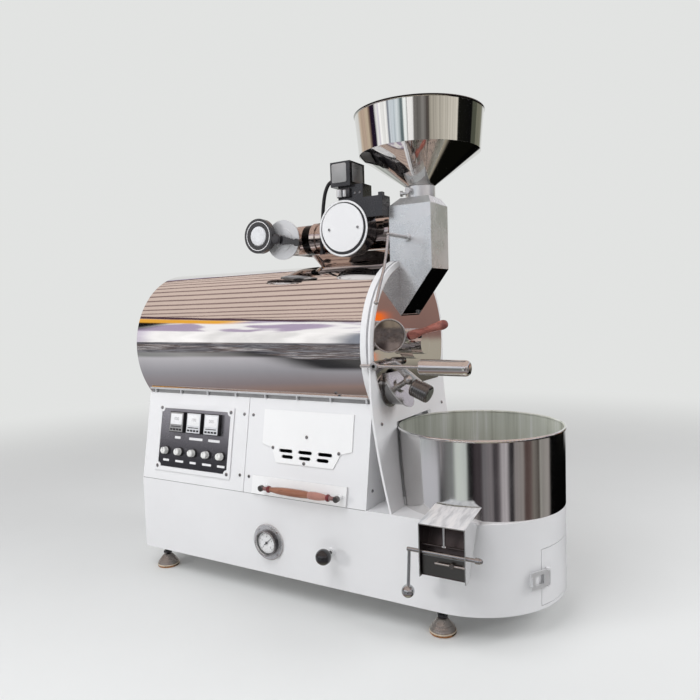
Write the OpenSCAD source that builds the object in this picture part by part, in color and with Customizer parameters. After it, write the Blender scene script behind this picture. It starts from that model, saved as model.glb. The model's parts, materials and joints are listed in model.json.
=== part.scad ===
/* [Base] */
// Distance that the base is wider than the drum's shell on each side
base_over = 7; // [4:0.5:12]
// Distance that the drum's shell stands out behind the base
shell_over = 5; // [3:0.5:10]
// Height of the base body
base_h = 187; // [180:1:200]
// Thickness of the sheet metal
sheet = 2; // [1.6:0.1:2.4]
// Height of the levelling feet
foot_h = 58; // [50:1:68]
// Radius of a foot's pad
foot_r = 28; // [24:1:32]
// Distance of the feet from the base's side
foot_in = 35; // [32:1:50]

/* [Base fittings] */
// Half of the angle that the chaff door covers on the round front
door_angle = 28; // [24:1:30]
// Height of the chaff door
door_h = 115; // [105:1:125]
// Distance of the pressure gauge behind the drum's front edge
gauge_x = 260; // [240:1:290]
// Radius of the pressure gauge's bezel
gauge_r = 30; // [27:0.5:33]
// Distance of the air rod behind the drum's front edge
rod_x = 85; // [70:1:110]
// Radius of the air rod's ball
ball_r = 17.5; // [15:0.5:20]
// Travel of the air rod
rod_travel = 40; // [25:1:50]
// Radius of the cooling fan's duct
air_r = 50; // [44:1:54]
// Length of the cooling fan's duct outside the base
air_l = 68; // [50:1:80]

/* [Cabinet] */
// Distance of the cabinet's top edge inside the drum's shell
cab_in = 36; // [30:1:42]
// Length of the control plate
ctl_l = 235; // [228:1:242]
// Height of the control plate along the slope
ctl_h = 151; // [146:1:156]
// Width of a square controller
meter_s = 49; // [45:1:51]
// Distance between the controllers
meter_pitch = 59.5; // [57:0.5:63]
// Radius of a control knob
knob_r = 9.5; // [8:0.5:11]
// Distance between the control knobs
knob_pitch = 47; // [44:1:49]
// Length of a control knob
knob_l = 13; // [10:1:18]

/* [Burner] */
// Length of the tray's front
tray_l = 260; // [250:1:266]
// Travel of the tray
tray_travel = 140; // [80:1:150]
// Radius of the tray's wooden handle
grip_r = 9; // [7:0.5:10]
// Width of a slot in the vent plate
slot_l = 38; // [30:1:42]
// Height of a slot in the vent plate
slot_h = 8; // [6:0.5:9]
// Radius of a gas burner tube
burner_r = 13; // [10:0.5:15]

/* [Drum] */
// Radius of the drum's outer shell
shell_r = 193; // [189:1:196]
// Length of the drum's outer shell
shell_l = 681; // [678:1:710]
// Gap between the drum's shell and the base
shell_gap = 151; // [147:1:157]
// Gap between the shell and the roasting drum
drum_gap = 33; // [27:1:39]
// Wall of the roasting drum
drum_t = 3; // [2:0.2:4]
// Radius of the drum's shaft
shaft_r = 12.5; // [10:0.5:14]
// Number of mixing vanes
vanes = 4; // [3:1:6]
// Width of the front flange
flange_w = 14; // [12:0.5:15]
// Thickness of the front plate
plate_t = 5; // [4:0.5:6]
// Distance that the front plate kicks forward at its foot
plate_kick = 40; // [34:1:46]

/* [Drive] */
// Teeth of the drum's sprocket
drum_teeth = 38; // [34:2:42]
// Teeth of the motor's sprocket
motor_teeth = 15; // [13:1:17]
// Gap between the shell and the drive motor
motor_gap = 12; // [10:1:16]
// Radius of the drive motor
motor_r = 45; // [40:1:48]
// Depth of the rear cover
cover_d = 54; // [50:1:60]

/* [Front fittings] */
// Radius of the bean outlet
out_r = 39; // [36:0.5:40]
// Distance of the bean outlet's centre inside the drum's shell
out_in = 51.18; // [48:0.1:56]
// Radius of the lid's shaft
lid_shaft_r = 5; // [4:0.5:6]
// Radius of the steel hand grip
steel_grip_r = 16; // [13:0.5:18]
// Length of the steel hand grip
steel_grip_l = 105; // [90:1:115]
// Radius of the lid's counterweight
weight_r = 20; // [17:0.5:21]
// Radius of the sight glass ring
sight_r = 36; // [32:0.5:38]
// Radius of the trier's tube
trier_r = 9; // [7:0.5:10]
// Slope of the trier in degrees
trier_tilt = 16.6; // [13:0.2:18]
// Travel of the trier
trier_travel = 130; // [100:1:140]

/* [Feed] */
// Width of the feed chute across the machine
chute_w = 98; // [92:1:104]
// Depth of the feed chute along the machine
chute_d = 102; // [96:1:108]
// Height of the chute's top above the drum's shell
chute_over = 121; // [113:1:131]
// Radius of the hopper's rim
hop_r = 145; // [136:1:156]
// Height of the hopper's band
hop_band_h = 88; // [76:1:100]
// Height of the hopper's cone
hop_cone_h = 73; // [66:1:84]
// Radius of the hopper's neck
hop_neck_r = 32; // [29:0.5:35]
// Length of the gate's shaft outside the chute
gate_out = 90; // [80:1:96]

/* [Exhaust] */
// Radius of the exhaust pipe
pipe_r = 37; // [34:0.5:38]
// Gap between the drum's shell and the exhaust pipe
pipe_gap = 31; // [29:1:34]
// Distance of the damper behind the drum's front edge
damper_x = 289; // [285:1:300]
// Length of the flue spigot from the centreline
flue_l = 120; // [100:1:140]
// Radius of the dial plate
dial_r = 49; // [46:0.5:52]
// Radius of the damper's hand disc
hand_r = 43; // [38:0.5:46]
// Radius of the small fan's housing
scroll_r = 65; // [62:0.5:67]
// Height of the fan's motor box
box_h = 56; // [48:1:62]

/* [Cooling bin] */
// Distance of the bin's centre ahead of the round front's centre
bin_dx = 20; // [18:0.5:22]
// Distance of the bin's wall inside the base's side
bin_in = 19; // [17:0.5:24]
// Height of the cooling bin
bin_h = 163; // [155:1:172]
// Number of stirring arms
arms = 4; // [3:1:6]
// Width of the bean spout
spout_w = 95; // [86:1:98]
// Distance that the spout stands out of the base
spout_out = 65; // [58:1:72]
// Radius of the spout lever's ball
lever_ball_r = 13; // [11:0.5:14]

/* [Hidden] */
$fn = 64;
// Radial clearance of a turning or sliding pin, and gap round a loose part
run_gap = 0.05;
gap = 0.4;
// Sizes that follow from the drum's shell
half_w = shell_r + base_over;
base_back = shell_l - shell_over;
cab_back = base_back - 1;
cab_top = shell_r - cab_in;
drum_rise = shell_r + shell_gap;
drum_r = shell_r - drum_gap;
motor_drop = shell_r + motor_gap + motor_r;
chute_top = shell_r + chute_over;
pipe_rise = shell_r + pipe_gap + pipe_r;
foot_y = half_w - foot_in;
spout_y = half_w + spout_out;
// Main levels
zb = foot_h;
zt = zb + base_h;
za = zt + drum_rise;
z_pipe = za + pipe_rise;
z_fan = za + pipe_rise + 10;
z_top = za + chute_top;
// Outline of the base and the bin
bin_r = half_w - bin_in;
bin_x = bin_r + 9;
base_cx = bin_x - bin_dx;
floor_z = zt + 8;
// Slope of the cabinet's sides
cab_h = drum_rise - sqrt(pow(shell_r, 2) - pow(cab_top, 2));
tilt = atan((half_w - cab_top) / cab_h);
skin = sheet / cos(tilt);
rail_z = zt + cab_h;
// Front flange, plate and disc
flange_r = shell_r + 3;
disc_r = shell_r - 9;
plate_x = flange_w + 5;
face_x = plate_x + plate_t;
disc_t = 2;
disc_x = face_x + disc_t;
bend_z = za - 96;
// Chaff door
door_z = zb + 8;
door_t = sheet - 0.6;
door_gap = 1.2;
gap_angle = door_gap / half_w * 57.3;
hinge_r = 3;
hinge_out = 6;
latch_angle = 4 - door_angle;
latch_z = zb + 66;
// Places on the near side panels
// The panel, the seam and the tray share out what is left of the side's length
spare = cab_back + 5 - ctl_l - 30 - tray_l;
ctl_x = -cab_back + 15 + ctl_l / 2 + spare * 38 / 155;
seam_x = -(ctl_x + ctl_l / 2 + 15 + spare * 40 / 155);
ctl_z = 35.6;
meter_dx = 6;
knob_dx = 4;
frame_t = 3;
plate_out = 2;
meter_z = ctl_z + ctl_h - 34;
meter_out = 11;
knob_z = ctl_z + 41.5;
knob_out = 3;
knob_shaft_r = 3;
tray_x = -seam_x + tray_l / 2 + spare * 29 / 155;
tray_top = 44;
tray_d = 180;
grip_x = tray_x + 15;
grip_y = 20;
grip_z = zt + 23;
grip_l = tray_l / 2 - 31;
vent_x = tray_x + 13;
tab_first = 7;
tab_pitch = (cab_back - tab_first - 24) / 7;
burner_back = cab_back - 175;
// Drive
pitch = 9.525;
drum_sprocket_r = pitch / (2 * sin(180 / drum_teeth));
motor_sprocket_r = pitch / (2 * sin(180 / motor_teeth));
tooth = 3.2;
chain_x = -shell_l - 25;
motor_shaft_r = 8;
// Bean outlet: its lid lies on a slope below the lid's shaft
out_angle = 37.84;
out_y = (shell_r - out_in) * cos(out_angle);
out_z = za - (shell_r - out_in) * sin(out_angle);
lid_tilt = 58;
lid_x = face_x;
lid_z = out_z + 34;
hinge_x = face_x + 12;
hinge_z = out_z + 53;
lever_y = -flange_r - 4;
// Sight glass and trier
sight_y = 67 - shell_r;
sight_z = za + 27;
sight_turn = -53.13;
trier_y = -60;
trier_z = za + 13;
// Feed
chute_x = 2;
chute_mid = chute_top - 144;
chute_low = chute_top - 248;
chute_t = 2;
hop_x = 59;
hop_t = 1.5;
cap_h = 17;
collar_h = 25;
hop_z = z_top + cap_h + collar_h;
hop_band_r = hop_r - 8;
gate_x = 45;
gate_z = z_top - 73;
gate_r = 4;
// Exhaust
pipe_t = 1.5;
dial_y = 60;
damper_r = 5;
scroll_x = -101;
scroll_y = -80;
scroll_d = 42;
saddle_z = z_pipe - pipe_r - 5;
spindle_r = 5;
// Bean spout
spout_x = bin_x + 13;
gate_y = -spout_y + 10;
spout_gate_z = zt - 42;
gate_pin_r = 4;

module place() {
    translate([-(bin_x + bin_r + 3 - shell_l - cover_d) / 2, 0, 0]) children();
}
module xcyl(r, x0, x1, y = 0, z = 0) {
    translate([x0, y, z]) rotate([0, 90, 0]) cylinder(r = r, h = x1 - x0);
}
module ycyl(r, y0, y1, x = 0, z = 0) {
    translate([x, y0, z]) rotate([-90, 0, 0]) cylinder(r = r, h = y1 - y0);
}
module zcyl(r, z0, z1, x = 0, y = 0) {
    translate([x, y, z0]) cylinder(r = r, h = z1 - z0);
}
module bar(x0, x1, y0, y1, z0, z1) {
    translate([x0, y0, z0]) cube([x1 - x0, y1 - y0, z1 - z0]);
}
// An outline in Y and Z, drawn out along X
module xprism(x0, x1) {
    translate([x0, 0, 0]) rotate([90, 0, 90]) linear_extrude(x1 - x0) children();
}
// An outline in X and Z, drawn out along Y
module yprism(y0, y1) {
    translate([0, y1, 0]) rotate([90, 0, 0]) linear_extrude(y1 - y0) children();
}
// A straight rod from one point to the next, with a slightly thicker round joint
module rod(a, b, r) {
    d = b - a;
    translate(a)
        rotate([0, acos(d[2] / norm(d)), atan2(d[1], d[0])])
            cylinder(r = r, h = norm(d));
    translate(b) sphere(r = r + 0.3);
}
// The near sloped side: local -Y points outward, local Z runs up the slope
module on_side() {
    translate([0, -half_w, zt]) rotate([-tilt, 0, 0]) children();
}
module side_skin(x0, x1, side) {
    difference() {
        xprism(x0, x1) polygon([
            [side * half_w, zt],
            [side * cab_top, zt + cab_h],
            [side * (cab_top - skin), zt + cab_h],
            [side * (half_w - skin), zt]
        ]);
        xcyl(shell_r + gap, x0 - 1, x1 + 1, 0, za);
        bar(x0 - 1, x1 + 1, -half_w - 9, half_w + 9, rail_z - 9.3, rail_z + 9);
    }
}
module cabinet_section(x0, x1) {
    difference() {
        xprism(x0, x1) polygon([
            [-half_w + skin, zt],
            [half_w - skin, zt],
            [cab_top - skin, zt + cab_h],
            [-cab_top + skin, zt + cab_h]
        ]);
        xcyl(flange_r + gap, x0 - 1, x1 + 1, 0, za);
    }
}
// Solid of the base's outline, set in by d
module base_body(d, z0, z1) {
    bar(-base_back + d, base_cx, -half_w + d, half_w - d, z0, z1);
    zcyl(half_w - d, z0, z1, base_cx);
}
// Sector of the round front between two radii, half angle a
module front_sector(r0, r1, a, z0, z1) {
    translate([base_cx, 0, z0])
        rotate([0, 0, -a])
            rotate_extrude(angle = 2 * a)
                translate([r0, 0]) square([r1 - r0, z1 - z0]);
}
module at_hinge() {
    translate([base_cx, 0, 0])
        rotate([0, 0, door_angle + 2])
            translate([half_w + hinge_out, 0, 0]) children();
}
module at_latch() {
    translate([base_cx, 0, latch_z])
        rotate([0, 0, latch_angle])
            translate([half_w + 5, 0, 0]) children();
}
module at_trier() {
    translate([face_x, trier_y, trier_z]) rotate([0, -trier_tilt, 0]) children();
}
module at_sight() {
    translate([disc_x, sight_y, sight_z]) rotate([0, 0, sight_turn]) children();
}
module at_lid() {
    translate([lid_x, -out_y, lid_z]) rotate([0, lid_tilt, 0]) children();
}
// Room that the cooling bin needs in the front plate
module bin_room(extra) {
    zcyl(bin_r + extra, zt - 1, zt + bin_h + 12, bin_x);
}

// Base

module base_shell() color("whitesmoke") place() {
    difference() {
        union() {
            difference() {
                base_body(0, zb, zt);
                base_body(sheet, zb + sheet, zt - sheet);
            }
            // Lip behind the door
            front_sector(half_w - sheet - 2, half_w - 0.8, door_angle + 2.5,
                door_z - 6, door_z + door_h + 6);
        }
        front_sector(half_w - sheet - 0.1, half_w + 10, door_angle + gap_angle,
            door_z - door_gap, door_z + door_h + door_gap);
        front_sector(half_w - sheet - 9, half_w + 9, door_angle - 1.5,
            door_z + 5, door_z + door_h - 5);
        for (x = [-base_back + 42, base_cx - 10], y = [-foot_y, foot_y])
            zcyl(7.5, zb - 1, zb + sheet + 1, x, y);
        for (a = [0:90:270])
            intersection() {
                zcyl(bin_r - 30, zt - sheet - 1, zt + 1, bin_x);
                translate([bin_x, 0, zt - sheet - 1])
                    rotate([0, 0, a])
                        translate([16, 16, 0]) cube([200, 200, sheet + 2]);
            }
        zcyl(8.5, zt - sheet - 1, zt + 1, bin_x);
        ycyl(8.5, -half_w - 1, -half_w + 9, -gauge_x, zb + 77);
        ycyl(6, -half_w - 1, -half_w + 9, -rod_x, zb + 83);
        ycyl(air_r - 0.5, half_w - 9, half_w + 1, -60, zb + base_h / 2);
    }
    // Hinge lugs and pins
    for (z = [door_z + 22, door_z + door_h - 22]) at_hinge() {
        for (s = [-1, 1]) translate([0, 0, z + s * 10]) {
            bar(-hinge_out - sheet / 2, 0, -3, 3, -3, 3);
            zcyl(5.5, -3, 3);
        }
        zcyl(hinge_r, z - 13, z + 13);
    }
    // Keeper of the latch
    translate([base_cx, 0, latch_z - 12])
        rotate([0, 0, -door_angle - 9])
            rotate_extrude(angle = 6)
                translate([half_w - sheet / 2, 0]) square([sheet / 2 + 2.6, 24]);
    // Bush of the air rod
    difference() {
        ycyl(9, -half_w - 6, -half_w + 6, -rod_x, zb + 83);
        ycyl(4 + run_gap, -half_w - 7, -half_w + 7, -rod_x, zb + 83);
    }
}

module levelling_feet() color("dimgray") place() {
    for (x = [-base_back + 42, base_cx - 10], y = [-foot_y, foot_y])
        translate([x, y, 0]) {
            rotate_extrude() polygon([
                [0, 0],
                [foot_r, 0],
                [foot_r, 6],
                [foot_r - 2, 12],
                [foot_r - 8, 20],
                [14, 27],
                [10, 31],
                [0, 31]
            ]);
            zcyl(7, 30, zb + sheet + 9);
            zcyl(14, zb - 5, zb);
            translate([0, 0, zb + sheet]) cylinder(r = 12, h = 6, $fn = 6);
            translate([0, 0, 34]) cylinder(r = 12, h = 6, $fn = 6);
        }
}

module chaff_door() color("white") place() {
    front_sector(half_w - door_t, half_w, door_angle, door_z, door_z + door_h);
    for (z = [door_z + 22, door_z + door_h - 22]) at_hinge() {
        difference() {
            union() {
                bar(-hinge_out - 1.4, -2.5, -18, -9, z - 6.5, z + 6.5);
                bar(-5, -2.5, -18, 0, z - 6.5, z + 6.5);
                zcyl(5.5, z - 6.5, z + 6.5);
            }
            zcyl(hinge_r + run_gap, z - 7, z + 7);
        }
    }
    // Bracket and pin of the latch
    at_latch() {
        for (s = [-1, 1]) translate([0, 0, s * 17]) {
            bar(-5 - door_t / 2, 0, -3, 3, -2, 2);
            zcyl(4, -2, 2);
        }
        zcyl(2, -17, 17);
    }
}

module chaff_latch() color("silver") place() at_latch() {
    difference() {
        union() {
            zcyl(4, -14.5, 14.5);
            rotate([0, 0, -7]) {
                bar(0.5, 3, -49, 0, -14.5, 14.5);
                bar(0.5, 3, -49, -8, -18, 18);
                bar(2, 7, -49, -46.5, -9, 9);
            }
        }
        rotate([0, 0, -7]) bar(-1, 4, -38, -14, -10, 10);
        zcyl(2 + run_gap, -20, 20);
    }
}

module gauge_case() color("silver") place()
    translate([-gauge_x, -half_w, zb + 77]) {
        difference() {
            union() {
                ycyl(gauge_r + 12.5, -3, 0);
                ycyl(gauge_r, -16, -2);
            }
            ycyl(gauge_r - 3, -17, -8);
            ycyl(2 + run_gap, -9, -3.5);
        }
        ycyl(8, -1, 34);
        for (a = [45:90:315])
            ycyl(2.2, -4.5, -2, (gauge_r + 8) * cos(a), (gauge_r + 8) * sin(a));
    }

module gauge_needle() color("black") place()
    translate([-gauge_x, -half_w, zb + 77]) {
        ycyl(2, -11, -4);
        ycyl(4, -11, -9);
        rotate([0, -42, 0]) bar(-8, gauge_r - 8, -10.4, -9.4, -1, 1);
    }

module air_rod() color("silver") place()
    translate([-rod_x, -half_w, zb + 83]) {
        ycyl(4, -35, 90);
        ycyl(8, 10 + rod_travel, 16 + rod_travel);
        ycyl(26, 84, 87);
    }

module ball_knob() color("black") place()
    translate([-rod_x, -half_w - 35, zb + 83]) difference() {
        sphere(r = ball_r);
        ycyl(4, 0, ball_r + 1);
    }

module cooling_blower() color("gray") place()
    translate([-60, half_w, zb + base_h / 2]) {
        difference() {
            union() {
                ycyl(air_r - 1, -110, air_l - 1);
                ycyl(air_r, 8, air_l);
                ycyl(air_r + 10, 0, 3);
            }
            ycyl(air_r - sheet, -111, air_l + 1);
        }
        for (a = [90:120:330]) rotate([0, a, 0]) bar(15, air_r - 1, -94, -86, -2, 2);
        difference() {
            ycyl(20, -104, -68);
            ycyl(spindle_r + run_gap, -88, -60);
        }
    }

module cooling_impeller() color("dimgray") place()
    translate([-60, half_w, zb + base_h / 2]) {
        ycyl(spindle_r, -86, -60);
        ycyl(17, -66, -46);
        for (a = [0:60:300])
            rotate([0, a, 0])
                translate([0, -56, 0])
                    rotate([38, 0, 0])
                        bar(12, air_r - sheet - 4, -1, 1, -11, 11);
    }

// Cabinet

module cabinet_frame() color("whitesmoke") place() {
    difference() {
        union() {
            cabinet_section(3, 5);
            cabinet_section(-cab_back, -cab_back + sheet);
        }
        xcyl(12, -cab_back - 1, -cab_back + 9, 0, za - motor_drop);
        xcyl(11, -cab_back - 1, -cab_back + 9, 120, zt + 105);
        xcyl(6, -cab_back - 1, -cab_back + 9, -120, zt + 60);
    }
    // Posts behind the seam and flanges along the base
    intersection() {
        cabinet_section(-seam_x - 12, -seam_x + 12);
        bar(-seam_x - 13, -seam_x + 13, -half_w, half_w, zt - 1, rail_z - 9.3);
        union() {
            for (s = [-1, 1]) xprism(-seam_x - 20, -seam_x + 20) polygon([
                [s * half_w, zt],
                [s * cab_top, zt + cab_h],
                [s * (cab_top - 14), zt + cab_h],
                [s * (half_w - 14), zt]
            ]);
        }
    }
    difference() {
        for (s = [-1, 1])
            intersection() {
                cabinet_section(-cab_back, 5);
                bar(-cab_back, 5, s > 0 ? half_w - 24 : -half_w, s > 0 ? half_w : -half_w + 24,
                    zt, zt + 2.5);
            }
    }
    for (x = [tray_x - 100, tray_x + 100]) bar(x - 5, x + 5, -half_w + 14, half_w - 14, zt, zt + 4.5);
    // Inlet for the mains lead
    difference() {
        union() {
            xcyl(13, -cab_back - 4, -cab_back, -120, zt + 60);
            xcyl(9, -cab_back - 16, -cab_back + 12, -120, zt + 60);
        }
        xcyl(5, -cab_back - 17, -cab_back + 13, -120, zt + 60);
        bar(-cab_back, -cab_back + sheet, -140, -100, zt + 40, zt + 80);
    }
    difference() {
        xcyl(9, -cab_back, -cab_back + sheet, -120, zt + 60);
        xcyl(5, -cab_back - 1, -cab_back + 3, -120, zt + 60);
    }
}

module control_cuts(extra) {
    for (i = [-1:1]) translate([ctl_x + meter_dx + i * meter_pitch, 0, meter_z])
        bar(-meter_s / 2 + 3 - extra, meter_s / 2 - 3 + extra, -9, 9,
            -meter_s / 2 + 3 - extra, meter_s / 2 - 3 + extra);
    for (i = [-2:2]) ycyl(6 + extra, -9, 9, ctl_x + knob_dx + i * knob_pitch, knob_z);
}

module control_side_panel() color("white") place() {
    difference() {
        side_skin(-cab_back, -seam_x - 1, -1);
        on_side() control_cuts(0.5);
    }
}

module burner_side_panel() color("white") place() {
    difference() {
        side_skin(-seam_x + 1, 5, -1);
        xcyl(flange_r + gap, -0.5, 9, 0, za);
        on_side() {
            bar(tray_x - tray_l / 2 + 5, tray_x + tray_l / 2 - 5, -9, 15, 3.5, tray_top - 5);
            vent_slots(0);
        }
    }
}

module far_side_panel() color("white") place() {
    difference() {
        side_skin(-cab_back, 5, 1);
        xcyl(flange_r + gap, -0.5, 9, 0, za);
        for (i = [0:5], k = [0:1])
            ycyl(5, half_w - 60, half_w + 9, -560 + i * 40, zt + 90 + k * 24);
    }
}

module panel_frame() color("white") place() on_side() {
    difference() {
        bar(ctl_x - ctl_l / 2 - 11, ctl_x + ctl_l / 2 + 11, -frame_t, 0,
            ctl_z - 11, ctl_z + ctl_h + 11);
        bar(ctl_x - ctl_l / 2, ctl_x + ctl_l / 2, -frame_t - 1, 1, ctl_z, ctl_z + ctl_h);
    }
    for (x = [-1, 1], z = [0, 1])
        ycyl(10, -frame_t, 0, ctl_x + x * ctl_l / 2, ctl_z + z * ctl_h);
}

module control_plate() color("gray") place() on_side() {
    difference() {
        bar(ctl_x - ctl_l / 2 + gap, ctl_x + ctl_l / 2 - gap, -plate_out, 0,
            ctl_z + gap, ctl_z + ctl_h - gap);
        control_cuts(0.5);
        for (x = [-1, 1], z = [0, 1])
            ycyl(10 + gap, -9, 9, ctl_x + x * ctl_l / 2, ctl_z + z * ctl_h);
    }
}

module controllers() color("dimgray") place() on_side() {
    for (i = [-1:1]) translate([ctl_x + meter_dx + i * meter_pitch, 0, meter_z]) {
        difference() {
            bar(-meter_s / 2, meter_s / 2, -plate_out - meter_out, -plate_out,
                -meter_s / 2 - 2, meter_s / 2 + 2);
            bar(-meter_s / 2 + 3, meter_s / 2 - 3, -plate_out - meter_out - 1,
                -plate_out - meter_out + 1.2, -meter_s / 2 + 1, meter_s / 2 - 1);
        }
        bar(-meter_s / 2 + 3, meter_s / 2 - 3, -plate_out - 1, 55,
            -meter_s / 2 + 3, meter_s / 2 - 3);
    }
    for (i = [-2:2]) translate([ctl_x + knob_dx + i * knob_pitch, 0, knob_z]) difference() {
        union() {
            ycyl(knob_r + 2, -plate_out - knob_out, -plate_out);
            ycyl(6, -plate_out - 1, 8);
            ycyl(12, sheet + 2, 22);
        }
        ycyl(knob_shaft_r + run_gap, -9, 18);
    }
}

module knob(i) {
    color("white") place() on_side() translate([ctl_x + knob_dx + i * knob_pitch, 0, knob_z]) {
        ycyl(knob_shaft_r, -plate_out - knob_out - 2, 16);
        ycyl(knob_r, -plate_out - knob_out - gap - knob_l, -plate_out - knob_out - gap);
        bar(-1, 1, -plate_out - knob_out - gap - knob_l - 0.8,
            -plate_out - knob_out - gap - knob_l + 1, 0, knob_r - 1);
    }
}
module knob_1() knob(-2);
module knob_2() knob(-1);
module knob_3() knob(0);
module knob_4() knob(1);
module knob_5() knob(2);

module slot_shape(l, h) {
    square([l - h, h], center = true);
    for (s = [-1, 1]) translate([s * (l - h) / 2, 0]) circle(r = h / 2);
}
module vent_slots(extra) {
    yprism(-9, 15) {
        for (i = [-1:1]) translate([vent_x + i * 54, 108]) slot_shape(slot_l, slot_h);
        for (i = [-1:1]) translate([vent_x + i * 48.5, 94.6]) slot_shape(slot_l - 6, slot_h);
    }
}

module vent_plate() color("white") place() on_side() {
    difference() {
        yprism(-2.5, 0) polygon([
            [vent_x - 123, 201],
            [vent_x - 123, 120],
            [vent_x - 94, 112.5],
            [vent_x - 80, 79],
            [vent_x + 77, 79],
            [vent_x + 95, 112.5],
            [vent_x + 123, 120],
            [vent_x + 123, 201]
        ]);
        vent_slots(0);
    }
}

module burner_tray() color("white") place() {
    on_side() bar(tray_x - tray_l / 2, tray_x + tray_l / 2, -5, -0.5, 1.5, tray_top);
    intersection() {
        difference() {
            bar(tray_x - tray_l / 2 + 8, tray_x + tray_l / 2 - 8, -half_w, -half_w + tray_d,
                zt + 6, zt + tray_top - 8);
            bar(tray_x - tray_l / 2 + 10, tray_x + tray_l / 2 - 10, -half_w + 10,
                -half_w + tray_d - 2, zt + 8, zt + tray_top);
        }
        on_side() bar(-400, 20, -2, 300, -90, 200);
    }
    // Posts of the handle
    for (s = [-1, 1])
        ycyl(5, -half_w - grip_y + 4, -half_w - 0.5, grip_x + s * (grip_l + 3), grip_z);
}

module tray_handle() color("saddlebrown") place() {
    difference() {
        translate([grip_x, -half_w - grip_y, grip_z]) rotate([0, 90, 0])
            rotate_extrude() polygon([
                [0, -grip_l],
                [0, grip_l],
                [4, grip_l],
                [4.5, grip_l - 15],
                [grip_r - 1, grip_l - 19],
                [grip_r - 1, grip_l - 24],
                [grip_r - 3, grip_l - 28],
                [grip_r, grip_l - 54],
                [grip_r + 0.6, 0],
                [grip_r, 54 - grip_l],
                [grip_r - 3, 28 - grip_l],
                [grip_r - 1, 24 - grip_l],
                [grip_r - 1, 19 - grip_l],
                [4.5, 15 - grip_l],
                [4, -grip_l]
            ]);
    }
    for (s = [-1, 1])
        ycyl(7, -half_w - grip_y - 6, -half_w - grip_y + 4, grip_x + s * (grip_l + 3), grip_z);
}

module burner() color("dimgray") place() {
    for (y = [-60, 0, 60]) {
        difference() {
            xcyl(burner_r, -burner_back, -60, y, zt + 105);
            for (i = [0:9])
                zcyl(2, zt + 106, zt + 140, 20 - burner_back + i * (burner_back - 104) / 9, y);
        }
    }
    ycyl(10, -72, 130, 4 - burner_back, zt + 105);
    xcyl(9, -cab_back + 6, 10 - burner_back, 120, zt + 105);
    xcyl(10, -cab_back - 2, -cab_back + 7, 120, zt + 105);
    difference() {
        xcyl(15, -cab_back - 24, -cab_back, 120, zt + 105);
        xcyl(9.3, -cab_back - 25, -cab_back - 6, 120, zt + 105);
    }
    // Brackets down to the base
    for (x = [60 - burner_back, -110]) {
        bar(x - 4, x + 4, -70, 70, zt + 105 - burner_r - 3, zt + 105 - burner_r + 3);
        bar(x - 4, x + 4, 62, 70, zt, zt + 105 - burner_r);
    }
    bar(56 - burner_back, 64 - burner_back, -70, -62, zt, zt + 105 - burner_r);
}

// Drive

module drive_motor() color("darkslategray") place() {
    difference() {
        union() {
            bar(-cab_back + sheet, -cab_back + sheet + 12, -55, 55,
                za - motor_drop - 55, za - motor_drop + 55);
            xcyl(motor_r, -cab_back + sheet + 10, -cab_back + 150, 0, za - motor_drop);
        }
        xcyl(motor_shaft_r + run_gap, -cab_back, -cab_back + 40, 0, za - motor_drop);
    }
    bar(-cab_back + 60, -cab_back + 110, -30, 30, za - motor_drop + motor_r - 8,
        za - motor_drop + motor_r + motor_gap - 3);
    bar(-cab_back + sheet, -cab_back + sheet + 12, -55, 55, zt, za - motor_drop - 54);
}

// Flat sprocket with its axis along X
module sprocket(r, teeth, x0, x1, z) {
    xcyl(r - 2, x0, x1, 0, z);
    xprism(x0, x1) translate([0, z])
        for (i = [0:teeth - 1])
            rotate(i * 360 / teeth)
                polygon([[r - 3, -2.4], [r + tooth, -1], [r + tooth, 1], [r - 3, 2.4]]);
}

module motor_sprocket() color("gray") place() {
    sprocket(motor_sprocket_r, motor_teeth, chain_x - 2.5, chain_x + 2.5, za - motor_drop);
    xcyl(motor_shaft_r, chain_x - 6, -cab_back + 38, 0, za - motor_drop);
    xcyl(14, chain_x + 2, chain_x + 9, 0, za - motor_drop);
}

// Chain that runs clear of the teeth round both sprockets
module drive_chain() color("darkgray") place() {
    x0 = chain_x - 3.5;
    x1 = chain_x + 3.5;
    r1 = drum_sprocket_r + tooth + 0.6;
    r2 = motor_sprocket_r + tooth + 0.6;
    a = asin((r1 - r2) / motor_drop);
    t = 5;
    lo = za - motor_drop;
    difference() {
        xcyl(r1 + t, x0, x1, 0, za);
        xcyl(r1, x0 - 1, x1 + 1, 0, za);
        bar(x0 - 1, x1 + 1, -99, 99, za - 99, za - (r1 + t) * sin(a) - 1);
    }
    difference() {
        xcyl(r2 + t, x0, x1, 0, lo);
        xcyl(r2, x0 - 1, x1 + 1, 0, lo);
        bar(x0 - 1, x1 + 1, -99, 99, lo - r2 * sin(a) + 1, lo + 99);
    }
    for (s = [-1, 1]) xprism(x0, x1) polygon([
        [s * (r1 + t - 0.2) * cos(a), za - (r1 + t - 0.2) * sin(a) + 3],
        [s * (r2 + t - 0.2) * cos(a), lo - (r2 + t - 0.2) * sin(a) - 1],
        [s * (r2 + 0.2) * cos(a), lo - (r2 + 0.2) * sin(a) - 1],
        [s * (r1 + 0.2) * cos(a), za - (r1 + 0.2) * sin(a) + 3]
    ]);
}

function shell_side(z) = sqrt(pow(shell_r - 0.7, 2) - pow(za - z, 2));

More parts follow.
